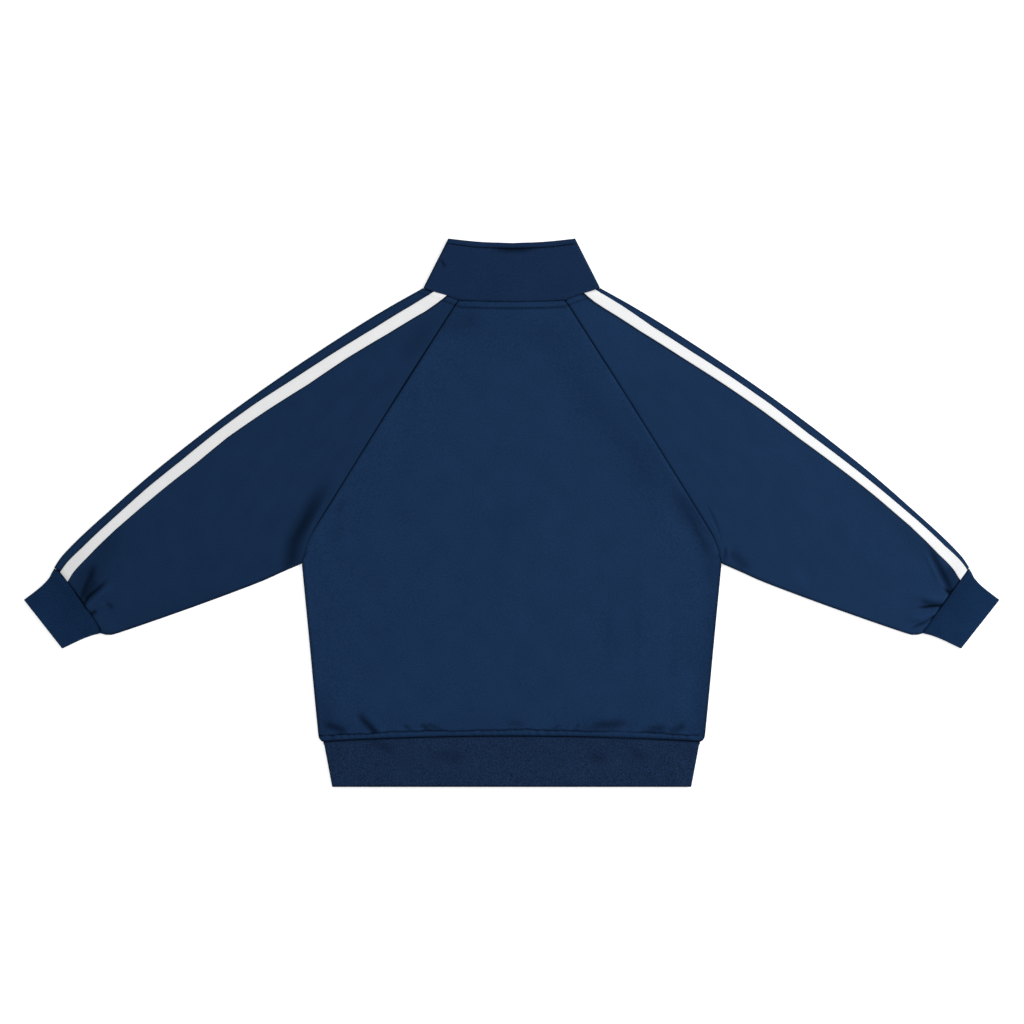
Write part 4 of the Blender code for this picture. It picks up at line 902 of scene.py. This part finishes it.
def cuff_rows(side):
    """A cuff as rings from the seam to the wrist, and its shade and cut."""
    seam_middle = (cuff_seam.at(0) + cuff_seam.at(1)) / 2 + to_cuff * SEAM_GAP / 2
    end_middle = (CUFF_END_TOP + CUFF_END_UNDER) / 2
    share = stations(30, (0, 0.1, 2))[:, None]
    length = share * np.linalg.norm(end_middle - seam_middle)
    centre = (seam_middle + (end_middle - seam_middle) * share)[:, None]
    run = unit(-cuff_seam.heading(0) * (1 - share) + unit(CUFF_END_TOP - CUFF_END_UNDER) * share)[:, None]
    flat = {}
    for end, widths in CUFF_WIDTHS.items():
        taper = SewnLine(list(zip(CUFF_PLACES, widths))).points
        flat[end] = np.interp(length, *taper.T) - RIB / 2 - RIB_TURN

    def plan(columns):
        """Places across a flat side of the cuff, which bows with its seam."""
        reach = np.where(columns > 0, flat[1], flat[-1]) * columns
        bow = cuff_bow(side, (columns + 1) / 2) * fade(share, 0, 0.5)[..., None]
        return centre + run * reach[..., None] + bow

    columns = np.linspace(-1, 1, CUFF_RIBS * 6 + 1)[None]
    from_fold = 1 - np.abs(columns)
    spot = plan(columns)
    height = folded(CUFF_WAVES[side], share + 0 * columns, columns + 0 * share) * ease(from_fold, 0, 0.3)
    height += RIB_RELIEF * np.cos(columns * CUFF_RIBS * math.pi) * ease(share, 0, 0.08)
    height -= 0.0008 * fade(share, 0, 0.12) * ease(from_fold, 0, 0.1)
    height += RIB_TOP + uneven(spot[..., 0] * side, spot[..., 1], 0.00015, 0.03)
    angles = np.linspace(0, math.pi, 2 * TURN_STEPS + 1)[None, 1:-1]
    turned = {}
    for end in (1, -1):
        out = (flat[end] + RIB_TURN * np.sin(angles)) * end
        turned[end] = raised(centre + run * out[..., None], RIB / 2 + RIB_TURN * (1 + end * np.cos(angles)))
    below = raised(plan(np.linspace(1, -1, 25)[None]), RIB / 2)
    rows = np.concatenate([raised(spot, height), turned[1], below, turned[-1]], axis=1) * [side, 1, 1]
    shade = np.zeros(rows.shape[:2])
    # Painted shade in the cuff seam, and more of it toward the seam end of the cuff.
    seam_shade = cuff_seam_shade(side, (1 - columns) / 2) * seam_line(length, 0.0018)
    shade[:, :columns.shape[1]] = seam_shade + 0.26 * (1 - share)
    around = np.append(columns[0] / 2, np.linspace(0.5, 1.5, rows.shape[1] - columns.shape[1]))
    cut = np.stack(np.broadcast_arrays(around * CUFF_RIBS * RIB_PITCH, length), axis=-1)
    return rows, shade, cut


cuffs = {}
for word, side in SIDES:
    rows, shade, cut = cuff_rows(side)
    cuff_knit = rib_knit(f"cuff_{word}_knit", (0.0068, 0.024, 0.068), 2.4)
    cuffs[side] = cloth(f"cuff_{word}_rib", rows, RIB, cuff_knit, shade, cut, ring=True)


# The collar. A stand collar of two plies of the jersey, turned and topstitched along its top edge. Its back
# half lies over its front half, and both are sewn into the neck seam.
COLLAR, COLLAR_TURN = 0.0024, 0.0025
COLLAR_TOP = COLLAR / 2 + 2 * COLLAR_TURN
COLLAR_HEIGHT, RIM_STITCH = 0.0815, 0.0077
COLLAR_CORNER = (0.0875, 0.3765)
COLLAR_RIM = [COLLAR_CORNER, (0.045, 0.3722), (0, 0.3704)]
COLLAR_FRONT_RIM = [COLLAR_CORNER, (0.068, 0.348), (0.038, 0.326), (ZIP_OPEN, 0.318)]
NECK_FRONT = [(0.095, 0.265), (0.064, 0.246), (0.032, 0.238), (ZIP_OPEN, 0.236)]
# As for the back's creases, the third column is painted shade.
COLLAR_CREASES = [
    (2.2, -0.5, 0.7, 0, 0, (-97.5, 351), (-94.5, 343), (-89.5, 335)),
    (4, -0.4, 0.6, 0, 0, (-35, 361.3), (5, 360.6), (42, 361.8)),
]


def zip_lift(x, y):
    """How far the slider and its pull hold the fronts and the collar off the surface."""
    return 0.0029 * (fade(np.abs(x), 0.008, 0.045)) * ease(y, 0.225, 0.294)


def corner_columns(seam, beside, between):
    """Columns with one on the corner where the seam passes from a sleeve to a body panel."""
    corner = seam.corner_share(0)
    return np.concatenate([corner * np.linspace(0, 1, beside, endpoint=False),
                           corner + (1 - corner) * np.linspace(0, 1, between)])


def collar_rows():
    """The collar from the neck seam to its top edge, and its shade."""
    edge = TurnedEdge(SewnLine([NECK_SIDE, COLLAR_CORNER]), 1, COLLAR, COLLAR_TURN,
                      (neck_seam.heading(0), -to_collar), (SewnLine(COLLAR_RIM).heading(0), np.zeros(2)))
    layers = []
    for legs, rim, beside, between in (((NECK_BACK, NECK_CENTRE), COLLAR_RIM, 32, 64),
                                       ((NECK_FRONT_SLEEVE, NECK_FRONT), COLLAR_FRONT_RIM, 10, 24)):
        seam = SewnLine(*legs).moved(-SEAM_GAP / 2)
        layers.append((seam, SewnLine(rim), corner_columns(seam, beside, between)))
    share = stations(56, (0.905, 0.04, 3), (0, 0.05, 2))
    from_rim = (1 - share[:, None]) * COLLAR_HEIGHT

    def over(x, y, share):
        soft = back_lift(x, y) + creased(COLLAR_CREASES, x, y)[0] + uneven(x, y, 0.0002, 0.045)
        soft += 0.0002 * np.sin(x * 700 + 2 * np.sin(x * 83)) * bell(from_rim, 0.0095, 0.003)
        soft -= 0.0006 * (fade(share, 0, 0.08) + fade(share, 0, 0.03))
        groove = stitched_groove(from_rim - RIM_STITCH, 0.0008) * ease(0.098 - np.abs(x), 0, 0.02)
        return COLLAR_TOP + soft * fade(np.abs(x), 0.08, 0.11) - groove

    rows = band(edge, *layers, share, over, lambda x, y, share: COLLAR / 2 + zip_lift(x, y))
    x, y = rows[..., 0], rows[..., 1]
    # Painted shade along the rim's topstitching, deepest at the middle, and in the neck seam, fainter beside
    # the sleeves.
    deeper_shade = 0.85 + 0.15 * bell(x, 0.005, 0.03)
    shade = creased(COLLAR_CREASES, x, y)[1]
    shade += deeper_shade * bell(from_rim, RIM_STITCH, 0.0014) * ease(0.098 - np.abs(x), 0, 0.02)
    beside_body = fade(np.abs(x), 0.072, 0.078)
    shade += (0.1 + 0.4 * beside_body) * seam_line(COLLAR_HEIGHT - from_rim, 0.0018)
    return rows, shade * (rows[..., 2] > COLLAR / 2 + COLLAR_TURN)


collar_points, collar_shade = collar_rows()
collar_cloth = cloth("collar_cloth", collar_points, COLLAR, jersey("collar_jersey", (0.0076, 0.0217, 0.0602)),
                     collar_shade)


# The fronts. The two front panels lie face down under the back, from the neck seam to the hem seam and from
# the zip to the side seams, where they meet the back.
front_raglan = SewnLine(RAGLAN_FRONT).moved(-SEAM_GAP / 2)
front_neck = SewnLine(NECK_FRONT).moved(SEAM_GAP / 2)
fronts = {}
for word, side in SIDES:
    plan, drop, _ = half_body(front_raglan, front_neck, stations(40)[:-1] * RAGLAN_END, stations(40),
                              np.linspace(0, 1, 34), ZIP_OPEN)
    round_hem_corners(plan)
    rows = raised(plan, JERSEY / 2 + zip_lift(plan[..., 0], plan[..., 1]) + drop)
    rows[..., 0] *= side
    fronts[side] = cloth(f"front_{word}_cloth", rows, JERSEY, back_jersey)


# The zip. Two narrow woven tapes are sewn under the edges of the fronts, each with a row of moulded teeth on
# its inner edge. A satin grey slider with a pull tab closes them at the collar, and a box joins them below.
ZIP_TAPE, TAPE_OUTER = 0.001, 0.0049
TAPE_INNER = ([-0.3665, 0.298, 0.306, 0.3175], [0.0004, 0.0004, 0.0015, 0.0019])
TOOTH_PITCH, TOOTH_FOOT, TOOTH_TOP = 0.0025, -0.366, 0.297
TOOTH_SIZES, TOOTH_OUT, TOOTH_UP = (0.0014, 0.00052, 0.0008), 0.0008, 0.00025
# The levels of a block from foot to top, and how far it is drawn in at each.
BLOCK_LEVELS = ((-1, 0.7), (-0.6, 1), (0.6, 1), (1, 0.7))


def tape_middle(y):
    """The middle of the tape's wall: on the surface along the body, and lifted with the slider."""
    on_body = (y > HEM_MIDDLE[1]) & (y < NECK_FRONT[-1][1])
    return np.where(on_body, JERSEY, RIB) / 2 + zip_lift(TAPE_OUTER, y)


def capped(count, rings, sides):
    """The faces of small closed shapes, count points in all, each shape's points in rings from end to end."""
    faces = []
    for first in range(0, count, rings * sides):
        points = list(range(first, first + rings * sides))
        faces += [points[sides - 1::-1], points[-sides:]]
        faces += [[ring + i, ring + (i + 1) % sides, ring + sides + (i + 1) % sides, ring + sides + i]
                  for ring in points[:-sides:sides] for i in range(sides)]
    return faces


def blocks(centres, half):
    """A row of small blocks with chamfered corners."""
    corners = [(-1, -0.5), (-0.6, -1), (0.6, -1), (1, -0.5), (1, 0.5), (0.6, 1), (-0.6, 1), (-1, 0.5)]
    shape = [[(x * grow, y * grow, z) for x, y in corners] for z, grow in BLOCK_LEVELS]
    return centres[:, None, None] + np.array(shape) * half


moulded = Finish("moulded_navy_teeth", Specular_IOR_Level=0.4)
grain = moulded.noise(900)
moulded.dyed((0.0085, 0.0235, 0.06), 0.9 + grain * 0.2)
moulded.rough(0.32 + grain * 0.12)
tapes, teeth = {}, {}
for word, side in SIDES:
    y = np.linspace(TAPE_INNER[0][0], TAPE_INNER[0][-1], 220)[:, None]
    inner = np.interp(y, *TAPE_INNER)
    x = inner + (TAPE_OUTER - inner) * np.linspace(0, 1, 6)[None]
    rows = raised(np.stack([side * x, y + 0 * x], axis=-1), tape_middle(y) + 0 * x)
    tape_weave = rib_knit(f"zip_tape_{word}_weave", (0.0085, 0.0235, 0.06), 1)
    tapes[side] = cloth(f"zip_tape_{word}_cloth", rows, ZIP_TAPE, tape_weave)
    tooth_y = np.arange(TOOTH_FOOT + TOOTH_PITCH * (1 + side) / 4, TOOTH_TOP, TOOTH_PITCH)
    middles = np.stack([0 * tooth_y + side * TOOTH_OUT, tooth_y, tape_middle(tooth_y) + TOOTH_UP], axis=-1)
    faces = capped(len(middles) * 32, 4, 8)
    teeth[side] = made(f"zip_teeth_{word}", blocks(middles, TOOTH_SIZES), faces, moulded.material)

satin = Finish("satin_grey_metal", Metallic=0.85)
cast = satin.noise(380, 4, 0.6)
satin.dyed((0.3, 0.31, 0.33), 0.88 + cast * 0.24)
satin.rough(0.3 + cast * 0.18)
satin.relief(cast, 0.00008, 0.4)
for node in ("zip_slider", "zip_pull", "zip_box"):
    bpy.data.objects[node].data.materials.clear()
    bpy.data.objects[node].data.materials.append(satin.material)


# The seams. The edges of the pieces are overlocked together inside the jacket, a narrow doubled strip that
# lies behind every seam line. The strip is dyed far darker than the jersey: painted shade that shows through
# the narrow gaps of the seams.
OVERLOCKED = 0.0004
# Dyed near black, as painted shade in the seam gaps.
overlocked = jersey("overlocked_edges_painted_shade", (0.003, 0.01, 0.028))


def allowance(name, spots, height, half, lift=0):
    """The overlocked edges behind a seam, between the two layers: their height and half width."""
    line, share = SewnLine(points=spots), np.linspace(0, 1, len(spots))
    across = left_of(line.heading(share))[:, None]
    plan = line.at(share)[:, None] + across * (np.linspace(-1, 1, 5) * half)[None, :, None]
    height = height + lift * back_lift(plan[..., 0], plan[..., 1])
    return cloth(name, raised(plan, height), OVERLOCKED, overlocked)


def both_halves(points):
    """A line from one side of the jacket to the other, from the half at +X."""
    return np.vstack([points * [-1, 1], points[-2::-1]])


allowances = {}
for word, side in SIDES:
    spots = raglan_seam.at(np.linspace(0.012, 0.992, 90)) * [side, 1]
    allowances[f"raglan_{word}"] = allowance(f"raglan_allowance_{word}", spots, 0.00175, 0.0055)
    spots = gathered_seam[side].at(np.linspace(0.03, 0.975, 40)) * [side, 1]
    allowances[f"cuff_{word}"] = allowance(f"cuff_allowance_{word}", spots, 0.00242, 0.0045)
back_neck = SewnLine(NECK_BACK, NECK_CENTRE)
spots = both_halves(back_neck.at(np.linspace(0.012, 1, 60)))
allowances["neck"] = allowance("neck_allowance", spots, 0.00295, 0.0045, 1.1)
spots = both_halves(SewnLine(hem_line[::-1]).at(np.linspace(0.022, 1, 70)))
allowances["hem"] = allowance("hem_allowance", spots, 0.00242, 0.0045)


# The topstitching. Rows of lockstitch, four millimetres to the stitch, hold the collar's edge, flatten the
# neck and hem seams and fasten both edges of each stripe. Each stitch is pulled into the cloth at its ends.
STITCH_PITCH, STITCH_LENGTH, THREAD = 0.004, 0.0025, 0.00075
STITCH_SIDES = 6
# Rings along a stitch: its place and girth, and how far it is sunk, as shares of length and thickness.
STITCH_RINGS = ((-0.5, 0.3, 0.7), (-0.3, 0.9, 0.15), (0, 1, 0), (0.3, 0.9, 0.15), (0.5, 0.3, 0.7))


def thread(name, colour):
    """Polyester sewing thread: two plies twisted round each other, with a slight shine."""
    finish = Finish(name, Specular_IOR_Level=0.05)
    twist = finish.noise(2400)
    finish.dyed(colour, 0.75 + twist * 0.5)
    finish.rough(0.6 + twist * 0.2)
    finish.relief(twist, 0.00008, 0.6)
    return finish.material


def on_top(pieces, plan):
    """Places in plan raised on to the uppermost of some pieces."""
    trees = [BVHTree.FromObject(piece, bpy.context.evaluated_depsgraph_get()) for piece in pieces]
    heights = []
    for spot in plan.tolist():
        hits = [tree.ray_cast(Vector((*spot, 0.1)), Vector((0, 0, -1)))[0] for tree in trees]
        heights.append(max((hit.z for hit in hits if hit is not None), default=0))
    heights, order = np.array(heights), np.arange(len(heights))
    on_cloth_there = heights > 0.002
    return raised(plan, np.interp(order, order[on_cloth_there], heights[on_cloth_there]))


def stitched(name, rows, finish):
    """Rows of stitches along lines on the cloth's surface."""
    angles = np.arange(STITCH_SIDES)[:, None] * 2 * math.pi / STITCH_SIDES
    stitches = []
    for path in rows:
        run = lengths_along(path)
        middles = np.arange(STITCH_PITCH / 2, run[-1] - STITCH_PITCH / 2, STITCH_PITCH)
        rings = []
        for part, girth, sunk in STITCH_RINGS:
            place = middles + part * STITCH_LENGTH
            centre, ahead = (np.stack([np.interp(at, run, axis) for axis in path.T], axis=-1)
                             for at in (place, place + 0.0005))
            along = unit(ahead - centre)
            aside = unit(np.cross([0, 0, 1], along))
            up = np.cross(along, aside)
            turn = aside[:, None] * np.cos(angles) + up[:, None] * np.sin(angles)
            rings.append((centre - up * THREAD * sunk)[:, None] + turn * girth * THREAD / 2)
        stitches.append(np.stack(rings, axis=1).reshape(-1, 3))
    points = np.vstack(stitches)
    return made(name, points, capped(len(points), len(STITCH_RINGS), STITCH_SIDES), finish)


# The navy thread is dyed near black: painted shade standing for the dimples and needle holes along each row
# of topstitching.
navy_thread_with_painted_shade = thread("navy_thread_with_painted_shade", (0.001, 0.0032, 0.01))
white_thread = thread("white_thread", (0.8, 0.8, 0.81))
bpy.context.view_layer.update()
rim_path = both_halves(SewnLine(COLLAR_RIM).moved(RIM_STITCH).at(np.linspace(0.03, 1, 60)))
neck_path = both_halves(back_neck.moved(NECK_STITCH).at(np.linspace(0.1, 1, 80)))
hem_x = np.linspace(-0.261, 0.261, 280)
hem_path = np.stack([hem_x, hem_y(hem_x) + hem_stitch(hem_x)], axis=1)
seam_stitches = {}
for seam, uppers, path in (("collar", [collar_cloth], rim_path),
                           ("neck", [back_cloth, *sleeves.values()], neck_path),
                           ("hem", [back_cloth], hem_path)):
    seam_stitches[seam] = stitched(f"{seam}_topstitching", [on_top(uppers, path)], navy_thread_with_painted_shade)
stripe_stitches = {}
for word, side in SIDES:
    face = (stripe_points[side] + outward(stripe_points[side]) * STRIPE / 2)[2:-2]
    edges = [face[:, 0] + (face[:, 1] - face[:, 0]) * 0.55, face[:, -1] + (face[:, -2] - face[:, -1]) * 0.55]
    stripe_stitches[side] = stitched(f"stripe_{word}_stitching", edges, white_thread)


# The cut. Each piece of cloth stands for its solid, and was cut flat to this size in metres: width, length
# and area, all round where it is a tube, with what is sewn to it.
Cut = namedtuple("Cut", "piece node width length area rests_on sewn_to_it")
CUTS = [
    Cut(back_cloth, "back", 0.595, 0.625, 0.272, ["front_left", "front_right"],
        [seam_stitches["neck"], seam_stitches["hem"], allowances["neck"], allowances["hem"],
         allowances["raglan_left"], allowances["raglan_right"]]),
    Cut(sleeves[-1], "sleeve_left", 0.47, 0.66, 0.2, [], [allowances["cuff_left"]]),
    Cut(sleeves[1], "sleeve_right", 0.47, 0.66, 0.2, [], [allowances["cuff_right"]]),
    Cut(stripes[-1], "stripe_left", 0.018, 0.665, None, ["sleeve_left"], [stripe_stitches[-1]]),
    Cut(stripes[1], "stripe_right", 0.018, 0.665, None, ["sleeve_right"], [stripe_stitches[1]]),
    Cut(hem_band, "hem_rib", 0.069, 1.02, None, [], []),
    Cut(cuffs[-1], "cuff_left", 0.06, 0.2, None, [], []),
    Cut(cuffs[1], "cuff_right", 0.06, 0.2, None, [], []),
    Cut(collar_cloth, "collar", 0.085, 0.44, None, [], [seam_stitches["collar"]]),
    Cut(fronts[-1], "front_left", 0.3, 0.6, 0.129, [], []),
    Cut(fronts[1], "front_right", 0.3, 0.6, 0.129, [], []),
    Cut(tapes[-1], "zip_tape_left", 0.01, 0.7, 0.0035, ["front_left"], [teeth[-1]]),
    Cut(tapes[1], "zip_tape_right", 0.01, 0.7, 0.0035, ["front_right"], [teeth[1]]),
]
for cut in CUTS:
    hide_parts(cut.node)


# The studio. A white floor, one big soft light from the upper right and a bright even room.
WHITE = (1, 1, 1, 1)
floor = placed("floor", bpy.data.meshes.new("floor"))
floor.data.from_pydata([(x, y, -0.0002) for x, y in ((-4, -4), (4, -4), (4, 4), (-4, 4))], [], [(0, 1, 2, 3)])
floor_white = Finish("floor_white", Roughness=0.9, Specular_IOR_Level=0.2, Emission_Color=WHITE,
                     Emission_Strength=0.45)
floor_white.dyed((0.93, 0.93, 0.93), 0.995 + floor_white.noise(3) * 0.01)
floor.data.materials.append(floor_white.material)

room = bpy.data.worlds.new("room")
bpy.context.scene.world = room
room.use_nodes = True
background = room.node_tree.nodes["Background"].inputs
background["Color"].default_value, background["Strength"].default_value = WHITE, 0.7
key = placed("key", bpy.data.lights.new("key", "AREA"))
key.data.energy, key.data.size = 60, 1.2
key.location = (2.3, 0.9, 1.6)
key.rotation_euler = (-key.location).to_track_quat("-Z", "Y").to_euler()

VIEW_WIDTH, LENS, SENSOR = 1.408, 100, 36
camera = placed("camera", bpy.data.cameras.new("camera"))
camera.data.lens = LENS
camera.location = (0.0004, 0.0007, 0.005 + VIEW_WIDTH * LENS / SENSOR)
bpy.context.scene.camera = camera
bpy.context.scene.view_settings.view_transform = "Standard"
